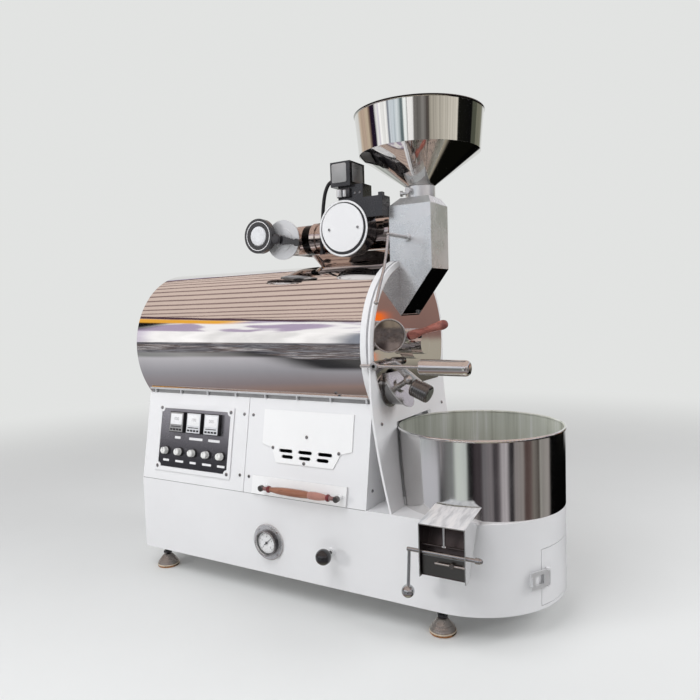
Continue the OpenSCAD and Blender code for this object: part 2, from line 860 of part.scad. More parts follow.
module drum_shell() color("silver") place() {
    difference() {
        union() {
            xcyl(shell_r, -shell_l, 0, 0, za);
            for (s = [-1, 1]) {
                bar(-cab_back + 6, -4, s > 0 ? cab_top - 12 : -cab_top - 8,
                    s > 0 ? cab_top + 8 : -cab_top + 12, rail_z + 1, rail_z + 5);
            }
        }
        xcyl(shell_r - sheet, -shell_l + 3, 1, 0, za);
        xcyl(20, -shell_l - 1, -shell_l + 9, 0, za);
        bar(81 - shell_l, -60, -90, 90, za - shell_r - 5, za - shell_r + 60);
    }
    // Rear bearing
    difference() {
        xcyl(32, -shell_l - 12, -shell_l + 16, 0, za);
        xcyl(shaft_r + run_gap, -shell_l - 20, -shell_l + 20, 0, za);
    }
    // Gussets under the rail
    for (i = [0:7], s = [-1, 1]) xprism(-tab_first - i * tab_pitch - 1.5,
        -tab_first - i * tab_pitch + 1.5) polygon([
            [s * shell_side(rail_z - 8.8), rail_z - 8.8],
            [s * (cab_top + 0.5), rail_z - 8.8],
            [s * (cab_top + 6), rail_z + 2],
            [s * shell_side(rail_z + 2), rail_z + 2]
        ]);
}

module rear_cover() color("white") place() {
    w = drum_sprocket_r + tooth + 14;
    lo = za - motor_drop - 59;
    hi = za + drum_sprocket_r + tooth + 10;
    difference() {
        bar(-shell_l - cover_d, -cab_back, -w, w, lo, hi);
        bar(-shell_l - cover_d + sheet, 0, -w + sheet, w - sheet, lo + sheet, hi - sheet);
        xcyl(shell_r + 0.2, -shell_l, 0, 0, za);
        for (i = [0:4]) bar(-shell_l - cover_d - 1, -shell_l - cover_d + 9, -40, 40,
            lo + 30 + i * 12, lo + 35 + i * 12);
    }
}

// Front

function lean(z) = z > bend_z ? 0 : plate_kick * pow((bend_z - z) / (bend_z - zt), 1.5);
module lean_strip() {
    n = 14;
    up = [for (i = [0:n]) zt + (bend_z - zt) * i / n];
    yprism(-flange_r, flange_r) polygon(concat(
        [for (z = up) [plate_x + lean(z), z]],
        [[plate_x, za + flange_r + 1], [face_x, za + flange_r + 1]],
        [for (i = [n:-1:0]) [face_x + lean(up[i]), up[i]]]
    ));
}
module front_cuts(extra) {
    at_trier() xcyl(trier_r + 3.5, -20, 9);
    at_sight() xcyl(sight_r - 9, -40, 9);
    xcyl(out_r + 0.3, 0, 40, -out_y, out_z);
    bar(0, 40, -chute_w / 2 + 4, chute_w / 2 - 4, z_top - 244, za + shell_r - 23);
    bin_room(4);
}

module front_plate() color("white") place() {
    difference() {
        union() {
            difference() {
                xcyl(flange_r, 0, flange_w, 0, za);
                xcyl(flange_r - 12, -1, flange_w + 1, 0, za);
            }
            difference() {
                xcyl(flange_r - 9, flange_w - 2, plate_x + 1, 0, za);
                xcyl(flange_r - 17, flange_w - 3, plate_x + 2, 0, za);
            }
            intersection() {
                lean_strip();
                union() {
                    xcyl(flange_r, 0, 99, 0, za);
                    bar(0, 99, -flange_r, flange_r, zt, za);
                }
            }
        }
        front_cuts(0);
        xcyl(shaft_r + 4, 0, 40, 0, za);
    }
}

module front_disc() color("silver") place() {
    difference() {
        union() {
            difference() {
                xcyl(disc_r, face_x, disc_x, 0, za);
                bar(0, 99, -300, 300, 0, bend_z);
            }
            xcyl(35, face_x, disc_x + 16, 0, za);
            xcyl(24, face_x, disc_x + 36, 0, za);
        }
        front_cuts(0);
        xcyl(shaft_r + run_gap, 0, disc_x + 31, 0, za);
    }
    // Sleeve of the trier
    difference() {
        at_trier() xcyl(trier_r + 5, -20, 20);
        at_trier() xcyl(trier_r + run_gap, -40, 40);
        bar(-60, face_x, -90, -30, za - 60, za + 60);
    }
}

module roast_drum() color("dimgray") place() {
    difference() {
        xcyl(drum_r, -shell_l + 26, -20, 0, za);
        xcyl(drum_r - drum_t, -shell_l + 30, -19, 0, za);
        xcyl(shaft_r, -shell_l, 0, 0, za);
    }
    // Front lip, spider and vanes
    difference() {
        xcyl(drum_r - 1, -24, -20, 0, za);
        xcyl(drum_r - 12, -25, -19, 0, za);
    }
    difference() {
        union() {
            xcyl(24, -320, -280, 0, za);
            translate([-300, 0, za])
                for (a = [45:90:315]) rotate([a, 0, 0]) bar(-15, 15, 15, drum_r - 1, -3, 3);
        }
        xcyl(shaft_r, -shell_l, 0, 0, za);
    }
    translate([0, 0, za])
        for (i = [0:vanes - 1])
            rotate([i * 360 / vanes, 0, 0])
                bar(-shell_l + 29, -23, drum_r - 24, drum_r - 1, -1.5, 1.5);
}

module drum_shaft() color("gray") place() {
    xcyl(shaft_r, chain_x - 12, disc_x + 28, 0, za);
    sprocket(drum_sprocket_r, drum_teeth, chain_x - 2.5, chain_x + 2.5, za);
    xcyl(22, chain_x + 2, chain_x + 10, 0, za);
}

// Feed

module chute_solid(d) {
    x1 = chute_x + chute_d - d;
    yprism(-chute_w / 2 + d, chute_w / 2 - d) polygon([
        [chute_x + d, z_top - d],
        [x1, z_top - d],
        [x1, za + chute_mid - 0.35 * d],
        [disc_x - 0.6 * d, za + chute_low + 0.8 * d],
        [chute_x + d, za + chute_low + 0.8 * d]
    ]);
}
module feed_chute() color("silver") place() {
    difference() {
        union() {
            chute_solid(0);
            for (s = [-1, 1]) ycyl(9, s > 0 ? chute_w / 2 - 1 : -chute_w / 2 - 7,
                s > 0 ? chute_w / 2 + 7 : -chute_w / 2 + 1, gate_x, gate_z);
        }
        difference() {
            chute_solid(chute_t);
            xcyl(flange_r + 2.4, -9, disc_x, 0, za);
        }
        xcyl(flange_r + 0.3, -9, face_x, 0, za);
        xcyl(disc_r + 0.3, -9, disc_x, 0, za);
        bar(-9, disc_x + 9, -chute_w / 2 + chute_t, chute_w / 2 - chute_t,
            za + chute_low + 3, za + flange_r - 16);
        ycyl(gate_r + run_gap, -chute_w, chute_w, gate_x, gate_z);
        xcyl(pipe_r - pipe_t, -9, 9, 0, z_pipe);
        zcyl(hop_neck_r - 5, z_top - 9, z_top + 9, hop_x);
    }
    // Cap up to the collar
    difference() {
        intersection() {
            yprism(-99, 99) polygon([
                [chute_x, z_top - 0.5],
                [chute_x + chute_d, z_top - 0.5],
                [hop_x + hop_neck_r + 3, z_top + cap_h],
                [hop_x - hop_neck_r - 3, z_top + cap_h]
            ]);
            xprism(-9, 199) polygon([
                [-chute_w / 2, z_top - 0.5],
                [chute_w / 2, z_top - 0.5],
                [hop_neck_r + 3, z_top + cap_h],
                [-hop_neck_r - 3, z_top + cap_h]
            ]);
        }
        zcyl(hop_neck_r - 5, z_top - 9, z_top + cap_h + 9, hop_x);
    }
    // Wall between the bean side and the air side
    yprism(-chute_w / 2 + 1, chute_w / 2 - 1) polygon([
        [hop_x - hop_neck_r - 1, z_top - 1],
        [hop_x - hop_neck_r + 2, z_top - 1],
        [gate_x - 5, gate_z + 6],
        [gate_x - 8, gate_z + 6]
    ]);
}

module hopper_collar() color("silver") place() translate([hop_x, 0, z_top + cap_h]) {
    difference() {
        zcyl(hop_neck_r + 2, 0, collar_h);
        zcyl(hop_neck_r - 5, -1, collar_h + 1);
        rotate([0, 0, 225]) translate([0, 0, 9]) xcyl(3, 0, 50);
    }
    for (a = [195, 255]) rotate([0, 0, a]) translate([0, 0, 14]) {
        xcyl(3, hop_neck_r, hop_neck_r + 9);
        xcyl(7, hop_neck_r + 8, hop_neck_r + 14);
    }
}

module hopper() color("silver") place() translate([hop_x, 0, hop_z]) {
    rotate_extrude() polygon([
        [hop_neck_r - 5, 0],
        [hop_neck_r, 0],
        [hop_band_r, hop_cone_h],
        [hop_r, hop_cone_h + hop_band_h],
        [hop_r - hop_t, hop_cone_h + hop_band_h],
        [hop_band_r - hop_t, hop_cone_h + 1],
        [hop_neck_r - 5, 3]
    ]);
    translate([0, 0, hop_cone_h + hop_band_h]) rotate_extrude()
        translate([hop_r - 0.5, 0]) circle(r = 2.5, $fn = 24);
}

module feed_gate() color("silver") place() translate([gate_x, 0, gate_z]) {
    ycyl(gate_r, -chute_w / 2 - gate_out, chute_w / 2 + 12);
    ycyl(8, chute_w / 2 + 7.6, chute_w / 2 + 12);
    bar(0, chute_x + chute_d - chute_t - gate_x - 1, -chute_w / 2 + chute_t + 1,
        chute_w / 2 - chute_t - 1, -1, 1);
    y0 = -chute_w / 2 - gate_out;
    path = [[0, y0, 0], [-1, y0 - 8, -37], [-3, y0 - 17, -70], [-7, y0 - 34, -112],
        [-9, y0 - 47, -144]];
    translate(path[0]) sphere(r = gate_r);
    for (i = [0:3]) rod(path[i], path[i + 1], 3);
    translate(path[4]) sphere(r = 5);
}

// Exhaust

module exhaust_pipe() color("silver") place() {
    difference() {
        union() {
            xcyl(pipe_r, -damper_x, chute_x, 0, z_pipe);
            ycyl(pipe_r, -dial_y + 3, 50, -damper_x, z_pipe);
            ycyl(pipe_r - 0.8, 49, flue_l - 1, -damper_x, z_pipe);
            ycyl(pipe_r, 56, flue_l, -damper_x, z_pipe);
            for (x = [-225, -20]) xcyl(pipe_r + 3, x, x + 14, 0, z_pipe);
        }
        xcyl(pipe_r - pipe_t, -damper_x, 9, 0, z_pipe);
        ycyl(pipe_r - pipe_t, -dial_y - 9, flue_l + 9, -damper_x, z_pipe);
    }
    // Saddle on the shell
    difference() {
        union() {
            xprism(-190, -5) polygon([
                [-45, saddle_z],
                [45, saddle_z],
                [18, za + shell_r - 6],
                [-18, za + shell_r - 6]
            ]);
            translate([-190, 0, za + shell_r - 6])
                cylinder(r1 = 17.7, r2 = 44.7, h = saddle_z - za - shell_r + 6);
            for (x = [-225, -20]) bar(x, x + 14, -14, 14, saddle_z - 1, z_pipe - pipe_r - 1);
        }
        xcyl(shell_r, -300, 9, 0, za);
        ycyl(scroll_r, scroll_y - 9, scroll_y + scroll_d, scroll_x, z_fan);
    }
}

module damper_plate() color("gainsboro") place()
    translate([-damper_x, -dial_y, z_pipe]) difference() {
        union() {
            ycyl(dial_r, 0, 3);
            ycyl(28.5, -2, 1);
            ycyl(12, 2, 12);
        }
        ycyl(damper_r + run_gap, -9, 19);
    }

module damper_lever() color("black") place()
    translate([-damper_x, -dial_y, z_pipe]) {
        ycyl(damper_r, -24, 100);
        ycyl(13, -28, -2.5);
        // Arm, tail and hand disc
        rotate([0, 12, 0]) {
            yprism(-22, -13) polygon([[-20, -8], [0, -11], [0, 11], [-20, 8]]);
            yprism(-22, -13) polygon([[0, -11], [61, -5], [61, 5], [0, 11]]);
            difference() {
                ycyl(hand_r, -28, -13, -56);
                ycyl(hand_r - 18, -29, -26, -56);
            }
            ycyl(9, -24, -11, 58);
        }
        // Throttle plate inside the pipe
        difference() {
            ycyl(pipe_r - pipe_t - 1, 14, 97);
            ycyl(pipe_r - pipe_t - 3.5, 17, 99);
            bar(-60, 60, 16.5, 99, -60, 18);
        }
    }

module fan_scroll() color("dimgray") place() translate([scroll_x, scroll_y, z_fan]) {
    difference() {
        union() {
            ycyl(scroll_r, 0, scroll_d);
            bar(0, -scroll_x + chute_x - 1, 2, scroll_d - 2, 20, scroll_r + 1);
        }
        ycyl(scroll_r - 3, 3, scroll_d - 3);
        bar(1, -scroll_x + chute_x - 4, 5, scroll_d - 5, 23, scroll_r - 2);
        ycyl(scroll_r - 5, -1, 4);
    }
    ycyl(spindle_r, 9, scroll_d - 1);
    // Ring that holds the shutter, and a lug on the duct
    difference() {
        ycyl(scroll_r - 4, 2.5, 5);
        ycyl(scroll_r - 22, 2, 6);
    }
    bar(-scroll_x + chute_x - 14, -scroll_x + chute_x - 4, 8, 20, scroll_r, scroll_r + 9);
}

module fan_shutter() color("white") place() translate([scroll_x, scroll_y, z_fan]) {
    translate([-2.5, 0, 2.5]) ycyl(scroll_r - 9.5, 0.3, 2);
    difference() {
        ycyl(13, 0.3, 9);
        ycyl(spindle_r + run_gap, 5, 10);
    }
    for (s = [-1, 1]) ycyl(3.2, -1.4, 1, s * 38);
}

module fan_impeller() color("silver") place() translate([scroll_x, scroll_y, z_fan]) {
    difference() {
        union() {
            ycyl(12, 12, scroll_d - 6);
            ycyl(scroll_r - 15, scroll_d - 8, scroll_d - 6);
        }
        ycyl(spindle_r + run_gap, 5, scroll_d);
    }
    for (a = [0:30:330]) rotate([0, a, 0]) bar(30, scroll_r - 15, 13, scroll_d - 7, -1, 1);
}

module fan_motor_box() color("dimgray") place() translate([scroll_x, scroll_y, z_fan]) {
    bar(-14, 51, 6, 48, scroll_r + 1, scroll_r + 33);
    bar(-27, 25, -5, 63, scroll_r + 30, scroll_r + 30 + box_h);
    xcyl(7, -33, -26, 22, scroll_r + 50);
}

module fan_cable() color("black") place() translate([scroll_x, scroll_y, z_fan]) {
    foot = saddle_z - z_fan;
    path = [[-33, 22, scroll_r + 50], [-38.5, 22, scroll_r + 50],
        [-49, 20, scroll_r + 43], [-60, 20, scroll_r + 18],
        [-68, 20, 36], [-72, 22, 10], [-78, 26, -14], [-84, 36, foot + 16], [-84, 40, foot + 9]];
    for (i = [0:7]) rod(path[i], path[i + 1], 4.3);
    zcyl(7, foot, foot + 10, -84, 40);
}

// Front fittings

module sight_glass() color("silver") place() {
    difference() {
        at_sight() {
            xcyl(sight_r - 6, -40, 40);
            xcyl(sight_r, 34, 42);
        }
        at_sight() xcyl(sight_r - 9, -60, 60);
        bar(-99, disc_x, -300, 0, za - 99, za + 199);
    }
    // Glass
    difference() {
        at_sight() xcyl(sight_r - 8.5, 30, 34);
        bar(-99, disc_x, -300, 0, za - 99, za + 199);
    }
}

module trier() color("silver") place() at_trier() {
    difference() {
        xcyl(trier_r, -150, 26);
        xcyl(trier_r - 1.5, -146, -12);
        bar(-146, -12, -20, 20, 2, 20);
    }
}

module trier_handle() color("saddlebrown") place() at_trier() {
    rotate([0, 90, 0]) rotate_extrude() polygon([
        [0, 26],
        [9, 26],
        [10.5, 30],
        [11, 36],
        [10.5, 44],
        [8.5, 54],
        [7.2, 62],
        [7.2, 70],
        [8.3, 82],
        [9.6, 94],
        [10.5, 104],
        [10.6, 112],
        [9.5, 118],
        [6.5, 122.5],
        [0, 124]
    ]);
}

module discharge_spout() color("gray") place() {
    difference() {
        union() {
            xcyl(out_r, 12, 120, -out_y, out_z);
            difference() {
                xcyl(out_r + 6, disc_x, disc_x + 3, -out_y, out_z);
                bin_room(4);
            }
        }
        xcyl(out_r - 3, 0, 130, -out_y, out_z);
        at_lid() bar(-200, 200, -99, 99, 0, 200);
        xcyl(shell_r, -9, 0, 0, za);
    }
    // Bearings of the lid's shaft
    bar(disc_x, disc_x + 3, -out_y - 74, 48 - out_y, hinge_z - 9, hinge_z + 8);
    for (y = [-out_y - 74, 36 - out_y]) difference() {
        union() {
            bar(disc_x, hinge_x, y, y + 12, hinge_z - 8, hinge_z + 8);
            ycyl(8, y, y + 12, hinge_x, hinge_z);
        }
        ycyl(lid_shaft_r + run_gap, y - 1, y + 13, hinge_x, hinge_z);
    }
}

module discharge_lid() color("silver") place() {
    difference() {
        intersection() {
            at_lid() bar(-200, 200, -99, 99, 0.5, 3.5);
            xcyl(out_r + 4, 0, 200, -out_y, out_z);
        }
        bar(0, disc_x + 3.6, -300, 0, out_z - 99, out_z + 99);
    }
    at_lid() {
        zcyl(6, 3, 30, 40);
        zcyl(15, 3, 8, 40);
    }
}

module discharge_lever() color("silver") place() difference() {
    union() {
        translate([hinge_x, 0, hinge_z]) {
            ycyl(lid_shaft_r, lever_y - 6, 50 - out_y);
            ycyl(6.6, -out_y - 8, -out_y + 8);
            // Lever rod and steel grip
            translate([0, lever_y, 0]) {
                ycyl(9, -6, 6);
                xcyl(3.5, -34, 104);
                xcyl(steel_grip_r, 103, 103 + steel_grip_l);
                xcyl(6, 99, 104);
            }
            // Arm with its counterweight
            rotate([0, 37, 0]) bar(0, 92, -out_y - 3, -out_y + 3, -8, 8);
            translate([64, -out_y, -60]) rotate([0, 23, 0]) {
                xcyl(weight_r, -20, 20);
                xcyl(weight_r - 2, -22, 22);
            }
        }
        at_lid() translate([40, 0, 30]) sphere(r = 11);
    }
    // Seat of the lid's stud
    at_lid() zcyl(6 + run_gap, -30, 30.1, 40);
}

// Cooling bin

module bin_wall() color("silver") place() translate([bin_x, 0, zt]) {
    difference() {
        cylinder(r = bin_r, h = bin_h);
        translate([0, 0, -1]) cylinder(r = bin_r - hop_t, h = bin_h + 2);
        bar(spout_x - bin_x - spout_w / 2 + 3, spout_x - bin_x + spout_w / 2 - 3,
            -bin_r - 9, 0, 10, 33);
    }
    translate([0, 0, bin_h]) rotate_extrude()
        translate([bin_r, 0]) circle(r = 3, $fn = 24);
    difference() {
        cylinder(r = bin_r - 0.5, h = floor_z - zt);
        translate([0, 0, -1]) cylinder(r = bin_r - 14, h = 20);
    }
}

module bin_floor() color("gray") place() translate([bin_x, 0, floor_z])
    linear_extrude(2) difference() {
        circle(r = bin_r - hop_t - 0.3);
        circle(r = 10);
        for (k = [1:6], i = [0:6 * k - 1])
            rotate(i * 60 / k + k * 7) translate([k * 24 + 6, 0]) circle(r = 4, $fn = 24);
    }

module stirrer() color("silver") place() translate([bin_x, 0, floor_z]) {
    zcyl(8, -40, 30);
    zcyl(22, 5, 34);
    translate([0, 0, 34]) cylinder(r1 = 22, r2 = 8, h = 22);
    for (i = [0:arms - 1]) rotate([0, 0, i * 360 / arms + 20]) {
        bar(15, bin_r - 12, -2, 2, 12, 26);
        translate([bin_r - 60, 0, 9]) rotate([20, 0, 0]) bar(-42, 42, -1.5, 1.5, -3, 12);
        translate([bin_r - 130 - 8 * (i % 2), 0, 9]) rotate([-20, 0, 0])
            bar(-24, 24, -1.5, 1.5, -3, 12);
    }
}

module stirrer_motor() color("gray") place() translate([bin_x, 0, zt - sheet]) {
    difference() {
        union() {
            zcyl(34, -8, 0);
            zcyl(28, -96, -6);
            bar(-70, 0, -22, 22, -60, -14);
        }
        zcyl(8 + run_gap, -50, 9);
    }
}

module bean_spout() color("silver") place() {
    x0 = spout_x - spout_w / 2;
    x1 = spout_x + spout_w / 2;
    difference() {
        xprism(x0, x1) polygon([
            [-bin_r + 30, zt + 2],
            [-bin_r + 30, zt + 35],
            [-spout_y, zt + 16],
            [-spout_y, zt - 89],
            [gate_y + 5, zt - 89],
            [-half_w - 2, zt + 2]
        ]);
        xprism(x0 + sheet, x1 - sheet) polygon([
            [-bin_r + 40, zt + 4],
            [-bin_r + 40, zt + 36.5 - sheet],
            [-spout_y - 9, zt + 14.5 - sheet],
            [-spout_y - 9, zt - 99],
            [gate_y + 2, zt - 99],
            [gate_y + 2, zt - 89],
            [-half_w - 4, zt + 4]
        ]);
        zcyl(bin_r + 0.1, zt - 9, zt + 99, bin_x);
        ycyl(1, -1, 1);
        xcyl(gate_pin_r + run_gap, x0 - 9, x1 + 9, gate_y, spout_gate_z);
    }
    xcyl(2.5, x0 + 1, x1 - 1, gate_y + 4, zt - 28);
    zcyl(3, zt - 29, zt + 17.4, spout_x, gate_y + 4);
}

module spout_gate() color("dimgray") place() {
    x0 = spout_x - spout_w / 2;
    x1 = spout_x + spout_w / 2;
    translate([0, gate_y, spout_gate_z]) {
        xcyl(gate_pin_r, x0 - 28.5, x1 + 20);
        bar(x0 + sheet + 1, x1 - sheet - 1, -1, 1, -43, 0);
        xcyl(6, x1 + 16, x1 + 24);
        translate([x1 + 25, 0, 0]) sphere(r = 5);
        rod([x0 - 24.5, 0, 0], [x0 - 28.5, 0, -75], 3.4);
        translate([x0 - 29.5, 0, -86]) sphere(r = lever_ball_r);
    }
}

// Screws

module head(x, z, y, r = 4) ycyl(r, y - 2, y, x, z);
module fasteners() color("silver") place() {
    on_side() {
        for (x = [-1, 1], z = [0, 1])
            head(ctl_x + x * (ctl_l / 2 + 1), ctl_z + z * ctl_h, -frame_t, 4.5);
        for (x = [-14, 14], z = [38.6, 185]) head(-seam_x + x, z, 0);
        for (p = [[2, 143.4], [-91, 112.8], [90, 114], [-1, 83.4]])
            head(vent_x + p[0], p[1], -2.5);
    }
    xcyl(4, 5, 7, -170, zt + 35);
    for (s = [-1, 1])
        xcyl(4, face_x + lean(zt + 182) + 0.45, face_x + 9.5, s * (shell_r - 28), zt + 182);
}

base_shell();
levelling_feet();
chaff_door();
chaff_latch();
gauge_case();
gauge_needle();
air_rod();
ball_knob();
cooling_blower();
cooling_impeller();
cabinet_frame();
control_side_panel();
burner_side_panel();
far_side_panel();
panel_frame();
control_plate();
controllers();
knob_1();
knob_2();
knob_3();
knob_4();
knob_5();
vent_plate();
burner_tray();
tray_handle();
burner();
drive_motor();
motor_sprocket();
drive_chain();
drum_shell();
rear_cover();
front_plate();
front_disc();
roast_drum();
drum_shaft();
feed_chute();
hopper();
hopper_collar();
feed_gate();
exhaust_pipe();
damper_plate();
damper_lever();
fan_scroll();
fan_shutter();
fan_impeller();
fan_motor_box();
fan_cable();
sight_glass();
trier();
trier_handle();
discharge_spout();
discharge_lid();
discharge_lever();
bin_wall();
bin_floor();
stirrer();
stirrer_motor();
bean_spout();
spout_gate();
fasteners();
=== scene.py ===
import json
import math
from math import cos, sin, pi, radians

import bmesh
import bpy
from mathutils import Matrix, Vector


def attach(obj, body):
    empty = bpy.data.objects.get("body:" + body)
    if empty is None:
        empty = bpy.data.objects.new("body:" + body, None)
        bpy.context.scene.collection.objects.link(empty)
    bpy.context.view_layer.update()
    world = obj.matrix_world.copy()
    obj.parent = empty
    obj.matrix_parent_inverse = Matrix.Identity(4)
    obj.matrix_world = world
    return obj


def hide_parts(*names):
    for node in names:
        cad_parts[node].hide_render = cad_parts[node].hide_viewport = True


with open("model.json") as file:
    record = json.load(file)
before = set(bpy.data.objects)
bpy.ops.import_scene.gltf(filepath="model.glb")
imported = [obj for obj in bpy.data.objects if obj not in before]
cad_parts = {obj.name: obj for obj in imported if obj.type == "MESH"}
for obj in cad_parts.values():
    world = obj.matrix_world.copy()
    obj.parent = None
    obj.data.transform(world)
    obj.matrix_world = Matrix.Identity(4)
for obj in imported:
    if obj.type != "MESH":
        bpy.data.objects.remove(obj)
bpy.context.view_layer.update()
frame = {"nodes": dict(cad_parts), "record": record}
NODES = frame["nodes"]


def move(x, y, z):
    return Matrix.Translation((x, y, z))


# Lengths below are millimetres measured as in the source: x from the drum's front edge
TO_ROW = move(0.1805, 0, 0) @ Matrix.Scale(0.001, 4)
ZT, ZA = 245.0, 589.0                    # heights of the base's top and the drum's axis
Z_PIPE, Z_FAN = ZA + 261, ZA + 271       # heights of the exhaust pipe's and the fan's axes
# Lean of the cabinet's side panels, and their plane with Z up the slope
TILT = math.atan(43 / (344 - math.sqrt(193 ** 2 - 157 ** 2)))
SIDE = move(0, -200, ZT) @ Matrix.Rotation(-TILT, 4, "X")


def add_object(name, data):
    o = bpy.data.objects.new(name, data)
    bpy.context.collection.objects.link(o)
    return o


# Camera, from the photograph's own perspective

def make_camera():
    a, e, r = radians(30.68), radians(-3.91), radians(-1.83)
    ahead = Vector((-sin(a) * cos(e), cos(a) * cos(e), sin(e)))
    right0 = Vector((cos(a), sin(a), 0))
    up0 = right0.cross(ahead)
    right = right0 * cos(r) + up0 * sin(r)
    up = up0 * cos(r) - right0 * sin(r)
    data = bpy.data.cameras.new("view")
    data.lens, data.sensor_width = 33.0, 36.0
    data.clip_start, data.clip_end = 0.02, 200
    cam = add_object("view", data)
    m = Matrix((right, up, -ahead)).transposed().to_4x4()
    m.translation = (0.84868, -1.36335, 0.68076)
    cam.matrix_world = m
    bpy.context.scene.camera = cam


# Node helpers

class Nodes:
    """Short calls for building a node tree."""

    def __init__(self, tree):
        self.t = tree

    def put(self, socket, value):
        if isinstance(value, bpy.types.NodeSocket):
            self.t.links.new(value, socket)
        else:
            socket.default_value = value

    def feed(self, node, **values):
        """Inputs by name, with _ for a space, or by number as i0, i1."""
        for k, v in values.items():
            key = int(k[1:]) if k[0] == "i" and k[1:].isdigit() else k.replace("_", " ")
            self.put(node.inputs[key], v)
        return node

    def new(self, kind, settings=None, **values):
        n = self.t.nodes.new(kind)
        for k, v in (settings or {}).items():
            setattr(n, k, v)
        return self.feed(n, **values)

    def at(self):
        return self.new("ShaderNodeTexCoord").outputs["Object"]

    def math(self, op, a, b=0.0, c=0.0):
        return self.new("ShaderNodeMath", {"operation": op}, i0=a, i1=b, i2=c).outputs[0]

    def mul(self, a, b):
        return self.math("MULTIPLY", a, b)

    def xyz(self, vector):
        return self.new("ShaderNodeSeparateXYZ", Vector=vector).outputs

    def step(self, x, lo, hi, a=0.0, b=1.0):
        n = self.new("ShaderNodeMapRange", {"interpolation_type": "SMOOTHSTEP"},
                     Value=x, From_Min=lo, From_Max=hi, To_Min=a, To_Max=b)
        return n.outputs[0]

    def mix(self, fac, a, b):
        n = self.new("ShaderNodeMix", {"data_type": "RGBA"})
        self.put(n.inputs[0], fac)
        for k, v in ((6, a), (7, b)):
            self.put(n.inputs[k], v if isinstance(v, bpy.types.NodeSocket) else (*v, 1))
        return n.outputs[2]

    def gain(self, color, factor):
        return self.new("ShaderNodeVectorMath", {"operation": "SCALE"}, i0=color,
                        Scale=factor).outputs[0]

    def blend(self, fac, a, b):
        return self.math("ADD", self.mul(a, self.math("SUBTRACT", 1.0, fac)), self.mul(b, fac))

    def noise(self, vector, scale, detail=3.0, rough=0.55):
        return self.new("ShaderNodeTexNoise", Vector=vector, Scale=scale, Detail=detail,
                        Roughness=rough).outputs[0]

    def scaled(self, vector, x, y, z):
        n = self.new("ShaderNodeMapping", Vector=vector)
        n.inputs["Scale"].default_value = (x, y, z)
        return n.outputs[0]

    def ramp(self, x, stops):
        n = self.new("ShaderNodeValToRGB", Fac=x)
        cr = n.color_ramp
        while len(cr.elements) > 1:
            cr.elements.remove(cr.elements[-1])
        for i, (p, c) in enumerate(stops):
            e = cr.elements[0] if i == 0 else cr.elements.new(p)
            e.position = p
            e.color = (*c, 1)
        return n.outputs[0]


M = {}                                          # materials by name


def new_material(name):
    """An entry of M, with its node helper and its surface shader."""
    m = M[name] = bpy.data.materials.new(name)
    m.use_nodes = True
    return Nodes(m.node_tree), m.node_tree.nodes["Principled BSDF"]


def material(name, color, rough, metal=0.0, tint=0.05, spread=0.06, patch=9.0, grain=None,
             grain_depth=0.0, dents=0.0, dent_scale=5.0, edge=0.8, coat=0.0):
    """A surface with uneven tone and polish, fine grain, shallow dents and softened edges."""
    n, s = new_material(name)
    at = n.at()
    broad = n.noise(at, patch, 4)
    lo = tuple(max(0, c * (1 - tint)) for c in color)
    hi = tuple(min(1, c * (1 + tint * 0.6)) for c in color)
    tone = n.mix(n.step(broad, 0.3, 0.7), lo, hi)
    fine = n.noise(n.scaled(at, *(grain or (1, 1, 1))), 260, 3)
    polish = n.step(n.math("ADD", broad, n.mul(fine, 0.4)), 0.5, 0.95, max(0.02, rough - spread),
                    rough + spread)
    n.feed(s, Base_Color=tone, Roughness=polish, Metallic=metal, Coat_Weight=coat,
           Coat_Roughness=0.12)
    # Bevel first, then dents, then grain, each on the normal before it
    normal = {}
    if edge:
        normal["Normal"] = n.new("ShaderNodeBevel", {"samples": 4}, Radius=edge / 1000).outputs[0]
    for depth, distance in ((dents, 0.004), (grain_depth, 0.0004)):
        if depth:
            height = fine if distance < 0.001 else n.noise(at, dent_scale, 1.5)
            normal["Normal"] = n.new("ShaderNodeBump", Strength=depth, Distance=distance,
                                     Height=height, **normal).outputs[0]
    n.feed(s, **normal)


def overlay(name, mask, color, rough=None, metal=None):
    """Another tone, polish and metal where mask(nodes, x, y, z) is 1; metres in the frame."""
    n = Nodes(M[name].node_tree)
    s = n.t.nodes["Principled BSDF"]
    at = n.at()
    fac = mask(n, *n.xyz(at))
    n.feed(s, Base_Color=n.mix(fac, s.inputs["Base Color"].links[0].from_socket,
                               color(n, at) if callable(color) else color))
    if rough is not None:
        n.feed(s, Roughness=n.blend(fac, s.inputs["Roughness"].links[0].from_socket, rough))
    if metal is not None:
        n.feed(s, Metallic=n.blend(fac, s.inputs["Metallic"].default_value, metal))


# Cooling bin's axis, and a radius just outside the wall's inner face
BIN_X, BIN_INNER = 0.3705, 0.1802


def inside_bin(n, x, y, z):
    r = n.math("SQRT", n.math("ADD", n.math("POWER", n.math("SUBTRACT", x, BIN_X), 2.0),
                              n.math("POWER", y, 2.0)))
    return n.math("LESS_THAN", r, BIN_INNER)


def painted_bin_light(n, at):
    """Pale brushed sheet with painted highlights as bright upright streaks, and painted shade
    towards one end.
    """
    f = n.noise(n.scaled(at, 1, 1, 0.04), 26, 4, 0.65)
    pale = n.ramp(f, [(0.30, (.50, .52, .45)), (0.46, (.74, .77, .69)), (0.56, (.80, .83, .76)),
                      (0.62, (.94, .96, .93)), (0.66, (.80, .83, .76))])
    x, y = n.xyz(at)[:2]
    shade_across = n.math("ADD", n.mul(n.math("SUBTRACT", x, BIN_X), 0.86),
                    n.mul(y, 0.51))
    return n.gain(pale, n.step(shade_across, -0.12, 0.03, 0.60, 1.0))


def painted_plate_sheen(n, at):
    """Bright sheet with soft streaks down its slope: a painted highlight."""
    f = n.noise(n.scaled(at, 1, 0.12, 1), 90, 3, 0.6)
    return n.ramp(f, [(0.35, (.62, .64, .66)), (0.50, (.84, .86, .88)), (0.60, (.93, .94, .95))])


